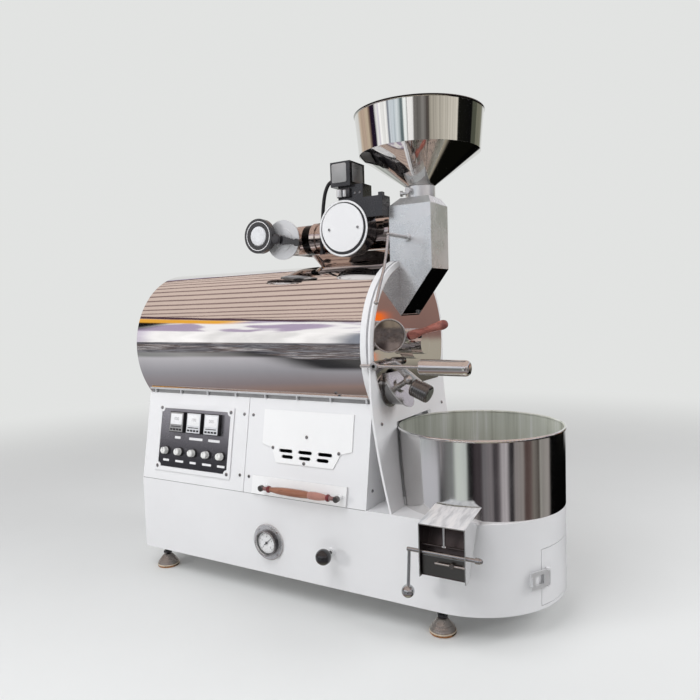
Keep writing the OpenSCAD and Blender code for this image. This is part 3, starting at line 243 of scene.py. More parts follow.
def facing(low, high):
    """Mask of the surfaces whose normal has an upward part between two values."""
    def mask(n, x, y, z):
        up = n.xyz(n.new("ShaderNodeTexCoord").outputs["Normal"])[2]
        return n.mul(n.math("GREATER_THAN", up, low), n.math("LESS_THAN", up, high))
    return mask


def block(x0=-9, x1=9, y0=-9, y1=9, z0=-9, z1=9, also=None):
    """Mask of what lies in a box, in metres of the frame."""
    def mask(n, x, y, z):
        fac = also(n, x, y, z) if also else 1.0
        for v, a, b in ((x, x0, x1), (y, y0, y1), (z, z0, z1)):
            fac = n.mul(fac, n.math("GREATER_THAN", v, a))
            fac = n.mul(fac, n.math("LESS_THAN", v, b))
        return fac
    return mask


def inside_spout(n, x, y, z):
    """Inner faces of the bean spout, where shade is painted; not its cross bar."""
    room = block(.3372, .4298, -.2646, -.150, .150, .2595)(n, x, y, z)
    cross_bar = block(.3795, .3875, -.2646, -.2462, .21, .262)(n, x, y, z)
    return n.math("MAXIMUM", n.math("SUBTRACT", room, cross_bar), 0.0)


def wood(name, axis, gain):
    """Turned hardwood, its grain along an axis; gain is a factor for each colour channel."""
    n, s = new_material(name)
    long = n.scaled(n.at(), *axis)
    rings = n.noise(long, 14, 3, 0.6)
    pores = n.noise(long, 60, 4, 0.7)
    tone = n.ramp(rings, [(p, tuple(c * g for c, g in zip(q, gain))) for p, q in (
        (0.30, (0.22, 0.055, 0.025)), (0.45, (0.42, 0.13, 0.06)), (0.56, (0.33, 0.09, 0.04)),
        (0.70, (0.52, 0.19, 0.09)))])
    tone = n.mix(n.step(pores, 0.52, 0.62, 0, 0.55), tone, (0.12, 0.035, 0.025))
    b = n.new("ShaderNodeBump", Strength=0.25, Distance=0.0004, Height=pores)
    n.feed(s, Base_Color=tone, Roughness=n.step(pores, 0.3, 0.7, 0.28, 0.45), Coat_Weight=0.5,
           Coat_Roughness=0.1, Normal=b.outputs[0])


def clear(name, color, alpha, rough=0.04):
    """Thin glass with faint smears."""
    n, s = new_material(name)
    smear = n.noise(n.at(), 60, 4)
    n.feed(s, Base_Color=n.mix(smear, color, tuple(c * 0.9 for c in color)),
           Roughness=n.step(smear, 0.4, 0.7, rough, rough + 0.1), Alpha=alpha, Coat_Weight=1.0,
           Coat_Roughness=0.03)


def panel_plate(name):
    """Dark brushed plate with painted shade, from nearly black at its foot to mid grey."""
    material(name, (0.16, 0.155, 0.17), 0.3, 0.75, grain=(1, 1, 30), grain_depth=0.12)
    n = Nodes(M[name].node_tree)
    s = n.t.nodes["Principled BSDF"]
    up = n.step(n.xyz(n.at())[2], 0.285, 0.435)
    tone = n.mix(up, (0.035, 0.035, 0.042), (0.36, 0.35, 0.38))
    n.feed(s, Base_Color=n.mix(0.15, tone, s.inputs["Base Color"].links[0].from_socket))


material("white_paint", (0.8, 0.8, 0.81), 0.36, 0, 0.02, 0.05, 6, None, 0.1, coat=0.15)
# A lighter copy of the white paint, for the burner tray and vent plate: painted light
material("white_paint_lit", (0.88, 0.88, 0.88), 0.34, 0, 0.02, 0.05, 6, None, 0.1, coat=0.15)
material("mirror_steel", (0.8, 0.78, 0.77), 0.05, 1, 0.04, 0.02, 5, None, 0, dents=0.09,
         dent_scale=6, edge=0.6)
material("hopper_steel", (0.74, 0.73, 0.71), 0.05, 1, 0.04, 0.02, 5, None, 0, dents=0.16,
         dent_scale=7, edge=0.6)
material("bin_steel", (0.78, 0.775, 0.765), 0.11, 1, 0.05, 0.03, 5, None, 0, dents=0.12,
         dent_scale=5, edge=0.6)
material("cloudy_steel", (0.86, 0.87, 0.88), 0.3, 0.8, 0.13, 0.09, 11, (1, 1, 8), 0.1, dents=0.1,
         dent_scale=12, edge=0.6)
material("pipe_steel", (0.6, 0.52, 0.48), 0.1, 1, 0.1, 0.05, 9, None, 0, dents=0.12,
         dent_scale=12, edge=0.6)
material("spout_steel", (0.84, 0.84, 0.84), 0.16, 1, 0.1, 0.06, 14, (1, 1, 14), 0.05, dents=0.1,
         dent_scale=16, edge=0.6)
material("flap_steel", (0.5, 0.51, 0.52), 0.16, 1, 0.1, 0.06, 14, (1, 1, 14), 0.05, edge=0.6)
material("lid_steel", (0.6, 0.6, 0.585), 0.28, 1, 0.08, 0.06, 14, None, 0.05, dents=0.1,
         dent_scale=14, edge=0.6)
material("bright_chrome", (0.9, 0.9, 0.91), 0.24, 0.75, 0.03, 0.04, 20, None, 0, edge=0)
# A darker copy of the polished steel: painted dark reflection, on the discharge spout and the
# counterweight
material("mirror_painted_dark", (0.25, 0.245, 0.24), 0.12, 1, 0.12, 0.06, 14, None, 0.05, dents=0.2,
         dent_scale=30, edge=0.6)
material("satin_steel", (0.68, 0.67, 0.66), 0.27, 1, 0.08, 0.08, 14, (1, 1, 14), 0.1, dents=0.08,
         dent_scale=16, edge=0.6)
material("dark_steel", (0.2, 0.19, 0.185), 0.42, 1, 0.2, 0.12, 12, None, 0.2, edge=0.6)
panel_plate("panel_metal")
material("black_plastic", (0.018, 0.018, 0.02), 0.34, 0, 0.2, 0.08, 30, None, 0.12, edge=0.5)
material("white_plastic", (0.82, 0.82, 0.8), 0.25, 0, 0.03, 0.05, 60, None, 0.03, edge=0.4,
         coat=0.3)
material("black_paint", (0.022, 0.021, 0.024), 0.26, 0, 0.2, 0.08, 20, None, 0.1, edge=0.8,
         coat=0.4)
material("motor_paint", (0.13, 0.15, 0.17), 0.4, 0, 0.1, 0.08, 20, None, 0.15)
# Mid grey for the strips under the rails' flanges: painted shade
material("motor_grey", (0.3, 0.3, 0.305), 0.45, 0, 0.12, 0.08, 30, None, 0.1, edge=0)
material("cast_iron", (0.09, 0.088, 0.085), 0.62, 0.6, 0.3, 0.12, 30, None, 0.7)
material("cast_aluminium", (0.55, 0.56, 0.57), 0.42, 1, 0.1, 0.1, 30, None, 0.4)
material("foot_grey", (0.3, 0.27, 0.25), 0.25, 0.5, 0.15, 0.08, 30, None, 0.15, coat=0.3)
material("ball_black", (0.016, 0.016, 0.018), 0.22, 0, 0.2, 0.05, 30, None, 0.08, edge=0,
         coat=0.5)
material("foot_rim", (0.7, 0.62, 0.5), 0.35, 0.2, 0.08, 0.06, 40, None, 0.1)
material("foot_rubber", (0.035, 0.035, 0.037), 0.5, 0, 0.2, 0.12, 30, None, 0.3)
material("cable_rubber", (0.02, 0.02, 0.022), 0.42, 0, 0.2, 0.08, 30, None, 0.2, edge=0)
wood("turned_wood", (0.35, 3.2, 3.2), (0.8, 1.15, 1.45))
wood("wood_red", (0.35, 3.2, 3.2), (1.15, 1.35, 2.3))
material("wood_ring", (0.16, 0.02, 0.025), 0.3, 0, 0.3, 0.1, 60, None, 0.2, coat=0.5)
material("wood_end", (0.22, 0.11, 0.105), 0.34, 0, 0.15, 0.08, 40, (1, 9, 9), 0.3, coat=0.4)
material("wood_pink", (0.42, 0.2, 0.16), 0.34, 0, 0.15, 0.08, 40, (1, 9, 9), 0.3, coat=0.4)
material("zinc_screw", (0.42, 0.42, 0.43), 0.25, 1, 0.15, 0.08, 60, None, 0.1, edge=0)
material("dial_steel", (0.8, 0.81, 0.82), 0.38, 0.55, 0.04, 0.05, 20, None, 0.1, edge=0.4)
material("pale_plate", (0.4, 0.4, 0.4), 0.42, 0.4, 0.06, 0.06, 40, (1, 1, 20), 0.15, edge=0.3)
material("meter_face", (0.7, 0.71, 0.73), 0.3, 0, 0.04, 0.05, 60, None, 0.03, edge=0.3, coat=0.4)
material("print_white", (0.85, 0.85, 0.86), 0.5, 0, 0.06, 0.05, 200, None, 0.05, edge=0)
material("print_black", (0.02, 0.02, 0.02), 0.5, 0, 0.2, 0.05, 200, None, 0.05, edge=0)
material("copper_rim", (0.62, 0.3, 0.12), 0.3, 0.9, 0.15, 0.08, 40, None, 0.2, edge=0.4)
# Near black for a narrow seam: painted shade
material("seam_shade_black", (0.01, 0.01, 0.01), 0.6, 0, 0.2, 0.05, 100, None, 0.1, edge=0)
clear("gauge_glass", (0.9, 0.92, 0.92), 0.1)
material("sight_pane", (0.42, 0.36, 0.32), 0.1, 1, 0.08, 0.04, 30, None, 0, edge=0)
material("grip_steel", (0.74, 0.72, 0.7), 0.14, 1, 0.05, 0.04, 20, (14, 1, 1), 0.05, edge=0)

# Other looks on parts of a surface, placed in metres of the frame
overlay("hopper_steel", block(z0=1.1046), (0.03, 0.03, 0.028))
# Inside the bin: painted highlights in upright streaks, and painted shade towards one end
overlay("bin_steel", inside_bin, painted_bin_light, 0.36, 0.30)
# Downward faces of the chute and collar: a smoother polish, and a darker tone that is painted
# shade
overlay("cloudy_steel", facing(-1.1, -0.3), (0.60, 0.60, 0.59), 0.07, 1)
overlay("pipe_steel", block(-0.068, -0.0465), (0.02, 0.02, 0.02))
# Inner faces of the spout: a near-black tone, painted shade in its hollow
overlay("spout_steel", inside_spout, (0.10, 0.09, 0.09), 0.3)
# Up-facing top of the spout: a painted highlight in soft bright streaks, with less metal
overlay("spout_steel", block(.33, .44, -.27, -.14, .2605, .29, facing(0.6, 1.1)),
        painted_plate_sheen, 0.30, 0.35)
overlay("flap_steel", block(.337, .430, -.40, .0, .10, .197), (0.16, 0.155, 0.15), 0.3)
overlay("wood_red", lambda n, x, y, z: n.step(x, 0.308, 0.316, 0, 0.8), (0.15, 0.04, 0.035))

for node, o in NODES.items():
    slot_name = next(p["material_slot"] for p in frame["record"]["subparts"]
                     if p["node"] == node)
    for s in o.material_slots:
        s.material = M[slot_name]
# Nodes that look different from the rest of their slot; on the burner tray, vent plate and
# discharge spout this is painted light and shade
OWN = {"damper_plate": "dial_steel", "hopper": "hopper_steel", "bin_wall": "bin_steel",
       "feed_chute": "cloudy_steel", "hopper_collar": "cloudy_steel",
       "exhaust_pipe": "pipe_steel", "bean_spout": "spout_steel",
       "discharge_spout": "mirror_painted_dark", "chaff_latch": "dial_steel",
       "spout_gate": "flap_steel", "discharge_lid": "lid_steel",
       "burner_tray": "white_paint_lit", "vent_plate": "white_paint_lit"}
for node, name in OWN.items():
    for s in NODES[node].material_slots:
        s.material = M[name]


# Shapes, in millimetres

def along(direction, origin=(0, 0, 0)):
    """Local Z turned to a direction, at an origin."""
    q = Vector((0, 0, 1)).rotation_difference(Vector(direction).normalized())
    return Matrix.Translation(origin) @ q.to_matrix().to_4x4()


def rounded(points, rad, n=3, closed=False):
    """Corners of an outline turned into short arcs; a third value in a point keeps it sharp."""
    out = []
    k = len(points)
    for i, p in enumerate(points):
        sharp = len(p) > 2 or (not closed and i in (0, k - 1))
        b = Vector(p[:2])
        if sharp:
            out.append(tuple(b))
            continue
        a, c = Vector(points[i - 1][:2]), Vector(points[(i + 1) % k][:2])
        ra, rc = min(rad, (a - b).length / 2.01), min(rad, (c - b).length / 2.01)
        u, v = b + (a - b).normalized() * ra, b + (c - b).normalized() * rc
        for j in range(n + 1):
            t = j / n
            q = u * (1 - t) ** 2 + b * 2 * t * (1 - t) + v * t * t
            out.append(tuple(q))
    return out


class Shape:
    """One visible piece, made of lathed, boxed, swept and extruded forms."""

    def __init__(self, name):
        self.name, self.bm, self.mats = name, bmesh.new(), []

    def _take(self, bm, place, mat):
        if mat not in self.mats:
            self.mats.append(mat)
        k = self.mats.index(mat)
        bmesh.ops.recalc_face_normals(bm, faces=bm.faces)
        for f in bm.faces:
            f.material_index = k
        bm.transform(place)
        me = bpy.data.meshes.new("part")
        bm.to_mesh(me)
        bm.free()
        self.bm.from_mesh(me)
        bpy.data.meshes.remove(me)

    def lathe(self, profile, place, mat, seg=64, rad=0.0):
        """Outline of (height, radius) points turned about local Z."""
        bm = bmesh.new()
        pts = rounded(profile, rad) if rad else [p[:2] for p in profile]
        rings = []
        for h, r in pts:
            if r < 1e-5:
                rings.append([bm.verts.new((0, 0, h))])
            else:
                rings.append([bm.verts.new((r * cos(2 * pi * i / seg),
                                            r * sin(2 * pi * i / seg), h)) for i in range(seg)])
        for a, b in zip(rings, rings[1:]):
            for i in range(seg):
                j = (i + 1) % seg
                if len(a) == 1 and len(b) == 1:
                    break
                if len(a) == 1:
                    bm.faces.new((a[0], b[i], b[j]))
                elif len(b) == 1:
                    bm.faces.new((a[i], a[j], b[0]))
                else:
                    bm.faces.new((a[i], a[j], b[j], b[i]))
        self._take(bm, place, mat)

    def box(self, x0, x1, y0, y1, z0, z1, mat, place=Matrix(), bevel=0.4, n=2):
        bm = bmesh.new()
        bmesh.ops.create_cube(bm, size=1)
        bmesh.ops.transform(bm, verts=bm.verts, matrix=Matrix.Translation(
            ((x0 + x1) / 2, (y0 + y1) / 2, (z0 + z1) / 2)) @ Matrix.Diagonal(
            (abs(x1 - x0), abs(y1 - y0), abs(z1 - z0), 1)))
        if bevel:
            bmesh.ops.bevel(bm, geom=list(bm.edges), offset=bevel, segments=n, profile=0.5,
                            affect="EDGES", clamp_overlap=True)
        self._take(bm, place, mat)

    def slab(self, outline, y0, y1, mat, place=Matrix(), bevel=0.3, n=2):
        """Outline in X and Z, from y0 to y1, with its edges rounded."""
        bm = bmesh.new()
        a = [bm.verts.new((x, y0, z)) for x, z in outline]
        b = [bm.verts.new((x, y1, z)) for x, z in outline]
        k = len(outline)
        f0, f1 = bm.faces.new(a), bm.faces.new(b)
        for i in range(k):
            bm.faces.new((a[i], a[(i + 1) % k], b[(i + 1) % k], b[i]))
        bmesh.ops.recalc_face_normals(bm, faces=bm.faces)
        if bevel:
            rim = list(set(f0.edges) | set(f1.edges))
            bmesh.ops.bevel(bm, geom=rim, offset=bevel, segments=n, profile=0.5,
                            affect="EDGES", clamp_overlap=True)
        self._take(bm, place, mat)

    def tube(self, points, r, mat, seg=20, steps=8, place=Matrix()):
        """Round bar along a smooth curve through the points, with rounded ends."""
        p = [Vector(q) for q in points]
        p = [2 * p[0] - p[1]] + p + [2 * p[-1] - p[-2]]
        path = []
        for i in range(1, len(p) - 2):
            for j in range(steps):
                t = j / steps
                a, b, c, d = p[i - 1:i + 3]
                path.append(0.5 * ((2 * b) + (c - a) * t + (2 * a - 5 * b + 4 * c - d) * t * t
                                   + (3 * b - a - 3 * c + d) * t ** 3))
        path.append(p[-2])
        bm = bmesh.new()
        side = None
        rings = []
        for i, q in enumerate(path):
            d = (path[min(i + 1, len(path) - 1)] - path[max(i - 1, 0)]).normalized()
            if side is None:
                side = d.orthogonal().normalized()
            side = (side - d * side.dot(d)).normalized()
            up = d.cross(side)
            rings.append([bm.verts.new(q + (side * cos(2 * pi * k / seg)
                                            + up * sin(2 * pi * k / seg)) * r)
                          for k in range(seg)])
        for a, b in zip(rings, rings[1:]):
            for k in range(seg):
                bm.faces.new((a[k], a[(k + 1) % seg], b[(k + 1) % seg], b[k]))
        for ring, q in ((rings[0], path[0] * 2 - path[1]), (rings[-1], path[-1] * 2 - path[-2])):
            mid = sum((v.co for v in ring), Vector()) / seg
            tip = bm.verts.new(mid + (q - mid).normalized() * r * 0.35)
            for k in range(seg):
                bm.faces.new((ring[k], ring[(k + 1) % seg], tip))
        self._take(bm, place, mat)

    def head(self, place, r, mat="zinc_screw", h=2.0):
        """Pan head with a cross recess; local Z points out of the surface."""
        seg, cut = 32, r * 0.58
        prof = rounded([(0, r), (h * 0.55, r), (h, r * 0.55), (h, cut, 1)], r * 0.3, 3)
        self.lathe(prof, place, mat, seg)
        bm = bmesh.new()
        w = r * 0.13
        rim = [bm.verts.new((cut * cos(2 * pi * i / seg), cut * sin(2 * pi * i / seg), h))
               for i in range(seg)]
        star = []
        for k in range(4):
            a = k * pi / 2
            for x, y in ((cut * 0.9, -w), (cut * 0.9, w), (w, w)):
                star.append((x * cos(a) - y * sin(a), x * sin(a) + y * cos(a)))
        top = [bm.verts.new((x, y, h)) for x, y in star]
        low = [bm.verts.new((x * 0.8, y * 0.8, h * 0.35)) for x, y in star]
        edges = [bm.edges.new((rim[i], rim[(i + 1) % seg])) for i in range(seg)]
        k = len(star)
        ring = [bm.edges.new((top[i], top[(i + 1) % k])) for i in range(k)]
        bmesh.ops.triangle_fill(bm, edges=edges + ring, use_beauty=True)
        inner = [f for f in bm.faces if all((v in top) for v in f.verts)]
        bmesh.ops.delete(bm, geom=inner, context="FACES_ONLY")
        for i in range(k):
            bm.faces.new((top[i], top[(i + 1) % k], low[(i + 1) % k], low[i]))
        bm.faces.new(low)
        self._take(bm, place, mat)

    def cut(self, point, normal):
        """Cuts away what lies behind a plane; the cut stays open."""
        g = list(self.bm.verts) + list(self.bm.edges) + list(self.bm.faces)
        bmesh.ops.bisect_plane(self.bm, geom=g, plane_co=point, plane_no=normal,
                               clear_inner=True)

    def done(self, body, slot, replaces=(), sharp=38):
        self.bm.transform(TO_ROW)
        me = bpy.data.meshes.new(self.name)
        self.bm.to_mesh(me)
        self.bm.free()
        me.shade_smooth()
        me.set_sharp_from_angle(angle=radians(sharp))
        for k in self.mats:
            me.materials.append(M[k])
        o = add_object(self.name, me)
        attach(o, body)
        if replaces:
            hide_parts(*replaces)


def digits(shape, text, size, place, mat, depth=0.12):
    """Plain figures from the built-in font, standing in local X and Y."""
    curve = bpy.data.curves.new("figures", "FONT")
    curve.body, curve.size, curve.extrude = text, size, depth
    curve.align_x, curve.align_y = "CENTER", "CENTER"
    o = add_object("figures", curve)
    bpy.context.view_layer.update()
    me = bpy.data.meshes.new_from_object(o.evaluated_get(bpy.context.evaluated_depsgraph_get()))
    bm = bmesh.new()
    bm.from_mesh(me)
    bpy.data.objects.remove(o)
    bpy.data.curves.remove(curve)
    bpy.data.meshes.remove(me)
    shape._take(bm, place, mat)


OUT_Y = Matrix.Rotation(pi / 2, 4, "X")          # local Z becomes -Y, local Y becomes +Z


# Pressure gauge

GAUGE = (-260, -208, 135)
GAUGE_START, GAUGE_SWEEP = 225, 270              # scale in degrees, from its zero


def gauge():
    at = move(*GAUGE) @ OUT_Y
    s = Shape("gauge_face")
    s.lathe([(-0.4, 26.6), (0.3, 26.6), (0.3, 0)], at, "print_white", 72, 0.1)
    # Black ring between the face and the bezel: painted shade
    s.lathe([(0.1, 27.0), (1.6, 27.0), (1.6, 24.9), (0.1, 24.3)], at, "black_plastic", 72, 0.2)
    s.lathe([(0.32, 22.3), (0.42, 22.3), (0.42, 21.9), (0.32, 21.9)], at, "print_black", 72)
    for i in range(41):
        a = radians(GAUGE_START - GAUGE_SWEEP * i / 40)
        big = i % 5 == 0
        r0, r1, w = (18.4, 22.2, 0.42) if big else (20.4, 22.2, 0.2)
        s.box(r0, r1, -w, w, 0.3, 0.44, "print_black", at @ Matrix.Rotation(a, 4, "Z"), 0)
    for i in range(5):
        a = radians(GAUGE_START - GAUGE_SWEEP * i / 4)
        digits(s, str(i * 2), 5.4, at @ move(14.6 * cos(a), 14.6 * sin(a), 0.36), "print_black")
    # Rounded outer ring, inside the solid's flange
    s.lathe([(-7.9, 41.6), (-5.2, 42.2), (-4.6, 40.8), (-4.7, 33.0), (-4.6, 30.2)], at,
            "bright_chrome", 96, 0.8)
    # Black sleeve over the polished bezel's side: a painted dark reflection
    s.lathe([(-4.5, 30.3), (7.0, 30.3), (7.6, 29.6)], at, "black_paint", 96)
    s.done("chassis", "mirror_steel")
    g = Shape("gauge_lens")
    g.lathe([(6.2, 26.9), (7.4, 26.6), (7.7, 20), (7.9, 10), (7.95, 0)], at, "gauge_glass", 72)
    g.done("chassis", "mirror_steel")
    h = Shape("gauge_hand")
    h.lathe([(-4, 0), (-4, 2), (1.2, 2), (1.2, 3.2), (2.6, 3.0), (2.9, 2.2), (2.9, 0)], at,
            "black_plastic", 32, 0.2)
    up = at @ Matrix.Rotation(radians(42), 4, "Z") @ Matrix.Rotation(-pi / 2, 4, "X")
    h.slab([(-8, -1.5), (-3, -0.9), (22, -0.35), (22, 0.35), (-3, 0.9), (-8, 1.5)], -2.2, -1.4,
           "black_plastic", up, 0.05, 1)
    h.done("needle", "black_plastic", ["gauge_needle"])


# Control panel

CTL_X, CTL_Z = -504.5, 35.6                      # control plate: its middle, its lower screws
METER_PITCH, SWITCH_PITCH = 59.5, 47


def switch_at(i):
    """Place of a switch, counted from the middle one, with local Z out of the panel."""
    return SIDE @ move(CTL_X + 4 + i * SWITCH_PITCH, 0, CTL_Z + 41.5) @ OUT_Y


def panel():
    s = Shape("instruments")
    mz = CTL_Z + 151 - 34
    for i in (-1, 0, 1):
        x = CTL_X + 6 + i * METER_PITCH
        s.box(x - 24.5, x + 24.5, -13, -2, mz - 26.5, mz + 26.5, "black_plastic", SIDE, 1.6, 3)
        s.box(x - 21.5, x + 21.5, -1.9, 54.5, mz - 21.5, mz + 21.5, "black_plastic", SIDE, 0.6)
        s.box(x - 22.8, x + 22.8, -13.5, -12.4, mz - 24.6, mz + 24.6,
              "pale_plate" if i < 0 else "meter_face", SIDE, 0.5)
        s.box(x - 19.5, x + 19.5, -13.9, -13.3, mz - 6, mz + 21, "print_white", SIDE, 0.25)
        s.box(x - 17.5, x + 17.5, -14.0, -13.6, mz - 12.6, mz - 10.6, "black_plastic", SIDE, 0.2)
        for k in range(4):
            kx = x - 15.6 + k * 10.4
            s.box(kx - 3.8, kx + 3.8, -14.2, -13.3, mz - 21.4, mz - 16.6, "black_plastic",
                  SIDE, 0.4)
        digits(s, ("000", "190", "205")[i + 1], 11,
               SIDE @ move(x + 1, -13.9, mz + 8) @ OUT_Y, "pale_plate", 0.05)
    for i in range(-2, 3):
        at = switch_at(i)
        s.lathe([(2, 11.4), (4.2, 11.4), (5, 10.4), (5, 0)], at, "black_plastic", 48, 0.5)
        s.lathe([(-22, 0), (-22, 11.9), (-4.1, 11.9), (-4.1, 5.9), (2, 5.9)], at,
                "black_plastic", 32, 0.4)
    s.done("chassis", "black_plastic", ["controllers"])

    t = Shape("panel_labels")
    for x, w in ((-55, 20), (8, 46), (69, 38)):
        bar(t, CTL_X + x, 112.6, w, 6.4)
    for i, w in enumerate((21, 28, 21, 30, 24)):
        bar(t, CTL_X + (i - 2) * SWITCH_PITCH + 4, 52.4, w, 5.6)
    t.done("chassis", "panel_metal")

    for i in range(5):
        k = Shape("switch_knob_%d" % (i + 1))
        at = switch_at(i - 2)
        k.lathe([(5.4, 0), (5.4, 9.4), (7.4, 9.4), (8.2, 8.8), (17.0, 8.3), (18.3, 7.0),
                 (18.5, 0)], at, "white_plastic", 64, 1.1)
        k.lathe([(-15.5, 0), (-15.5, 2.9), (5.4, 2.9)], at, "zinc_screw", 24, 0.3)
        for j in range(18):
            a = 2 * pi * j / 18
            k.tube([(8.75 * cos(a), 8.75 * sin(a), 8.6), (8.5 * cos(a), 8.5 * sin(a), 13),
                    (8.2 * cos(a), 8.2 * sin(a), 16.2)], 0.5, "white_plastic", 8, 3, at)
        k.box(-1.7, 1.7, -7.0, 7.6, 17.6, 19.1, "white_plastic", at, 0.8, 3)
        k.box(-0.45, 0.45, 2.6, 7.2, 19.0, 19.2, "print_black", at, 0.05)
        k.done("switch_%d" % (i + 1), "white_plastic", ["knob_%d" % (i + 1)])


def bar(shape, x, z, w, h):
    """A bare printed bar: its ends are slightly rounded."""
    pts = rounded([(x - w / 2, z - h / 2), (x + w / 2, z - h / 2), (x + w / 2, z + h / 2),
                   (x - w / 2, z + h / 2)], 1.4, 3, True)
    shape.slab(pts, -2.25, -2.0, "print_white", SIDE, 0.08, 1)


# Screws

def screws():
    s = Shape("screw_heads")

    def on_side(x, z, y, r):
        s.head(SIDE @ move(x, y, z) @ OUT_Y, r)

    for sx in (-1, 1):
        for sz in (0, 1):
            on_side(CTL_X + sx * 118.5, CTL_Z + sz * 151, -3, 4.5)
    for x in (-14, 14):
        for z in (38.6, 185):
            on_side(-332 + x, z, 0, 4)
    for x, z in ((2, 143.4), (-91, 112.8), (90, 114), (-1, 83.4)):
        on_side(-160 + x, z, -2.5, 4)
    s.head(along((1, 0, 0), (5, -170, ZT + 35)), 4)
    # The front plate leans forward at its foot, by a curve that starts at height 493
    x0 = 24 + 40 * ((493 - 427) / 248.0) ** 1.5
    for y in (-165, 165):
        s.head(along((0.992, 0, 0.125), (x0 + 0.45, y, ZT + 182)), 4, h=2.6)
    # One button head low on the shell, near its front
    a = radians(-31)
    n = Vector((0, -cos(a), sin(a)))
    s.head(along(n, Vector((-82, 0, ZA)) + n * 192.8), 4, h=2.2)
    s.done("chassis", "zinc_screw", ["fasteners"])

    r = Shape("rail_edge")
    r.box(-669, -4, -165.4, -164.6, 477.5, 481.9, "dial_steel", bevel=0.3)
    r.box(-669, -4, 164.6, 165.4, 477.5, 481.9, "dial_steel", bevel=0.3)
    for sy in (-1, 1):
        for i in range(8):
            x = -7 - 92 * i
            r.box(x - 1.8, x + 1.8, *sorted((sy * 164, sy * 157.6)), 468.2, 478, "dial_steel",
                  bevel=0.3)
    r.done("chassis", "mirror_steel")
    # Strips of painted shade: grey under the rails' flanges, and a near-black one at the base's
    # top edge
    q = Shape("seam_shade_strips")
    for sy in (-1, 1):
        q.box(-669, -4, *sorted((sy * 157.4, sy * 156.9)), 466.5, 478, "motor_grey", bevel=0)
    # Near-black strip along the base's top edge: painted shade in that seam
    q.box(-674, 4, -200.12, -199.0, 244.5, 245.3, "seam_shade_black", bevel=0)
    q.done("chassis", "white_paint")


# Wooden handles

def handles():
    s = Shape("tray_grip")
    middle = Vector((-158, -220, 268))
    at = along((1, 0, 0), middle)
    s.lathe([(-99, 0), (-99, 4.3), (-88, 4.6), (-84, 5.2)], at, "wood_end", 48, 1.0)
    s.lathe([(-84, 5.2), (-83, 7.8), (-80, 8.2), (-77.5, 7.6), (-76, 5.6)], at, "wood_ring", 48,
            1.0)
    s.lathe([(-76, 5.6), (-70, 5.9), (-60, 7.2), (-44, 8.5), (-20, 9.0), (0, 9.0), (14, 8.7),
             (26, 8.0), (30, 7.3)], at, "turned_wood", 56, 1.5)
    s.lathe([(30, 7.3), (33, 8.5), (46, 9.0), (58, 8.5), (68, 7.0), (74, 5.8), (76, 5.6)], at,
            "wood_pink", 56, 1.5)
    s.lathe([(76, 5.6), (77.5, 7.6), (80, 8.2), (83, 7.8), (84, 5.2)], at, "wood_ring", 48, 1.0)
    s.lathe([(84, 5.2), (88, 4.6), (99, 4.3), (99, 0)], at, "wood_end", 48, 1.0)
    for e in (-1, 1):
        s.lathe([(-4, 0), (-4, 6.6), (-2.6, 7), (5.0, 7), (6, 6), (6, 0)],
                move(*(middle + Vector((e * 102, 0, 0)))) @ OUT_Y, "dark_steel", 32, 0.6)
    s.done("tray", "turned_wood", ["tray_handle"])

    t = Shape("sampler_grip")
    d = Vector((cos(radians(16.6)), 0, sin(radians(16.6))))
    at = along(d, (24, -60, 602))
    t.lathe([(26, 0), (26, 8.9), (30, 10.4), (36, 10.9), (44, 10.4), (54, 8.4), (62, 7.2),
             (70, 7.2), (82, 8.3), (94, 9.6), (104, 10.5), (112, 10.6), (118, 9.5),
             (122.5, 6.5), (124, 0)], at, "wood_red", 64, 2.5)
    t.lathe([(26.5, 9.4), (29.5, 10.55), (31.5, 10.75), (31.5, 9)], at, "wood_ring", 64, 0.4)
    t.done("sampler", "turned_wood", ["trier_handle"])


# Fan, its motor box and cable

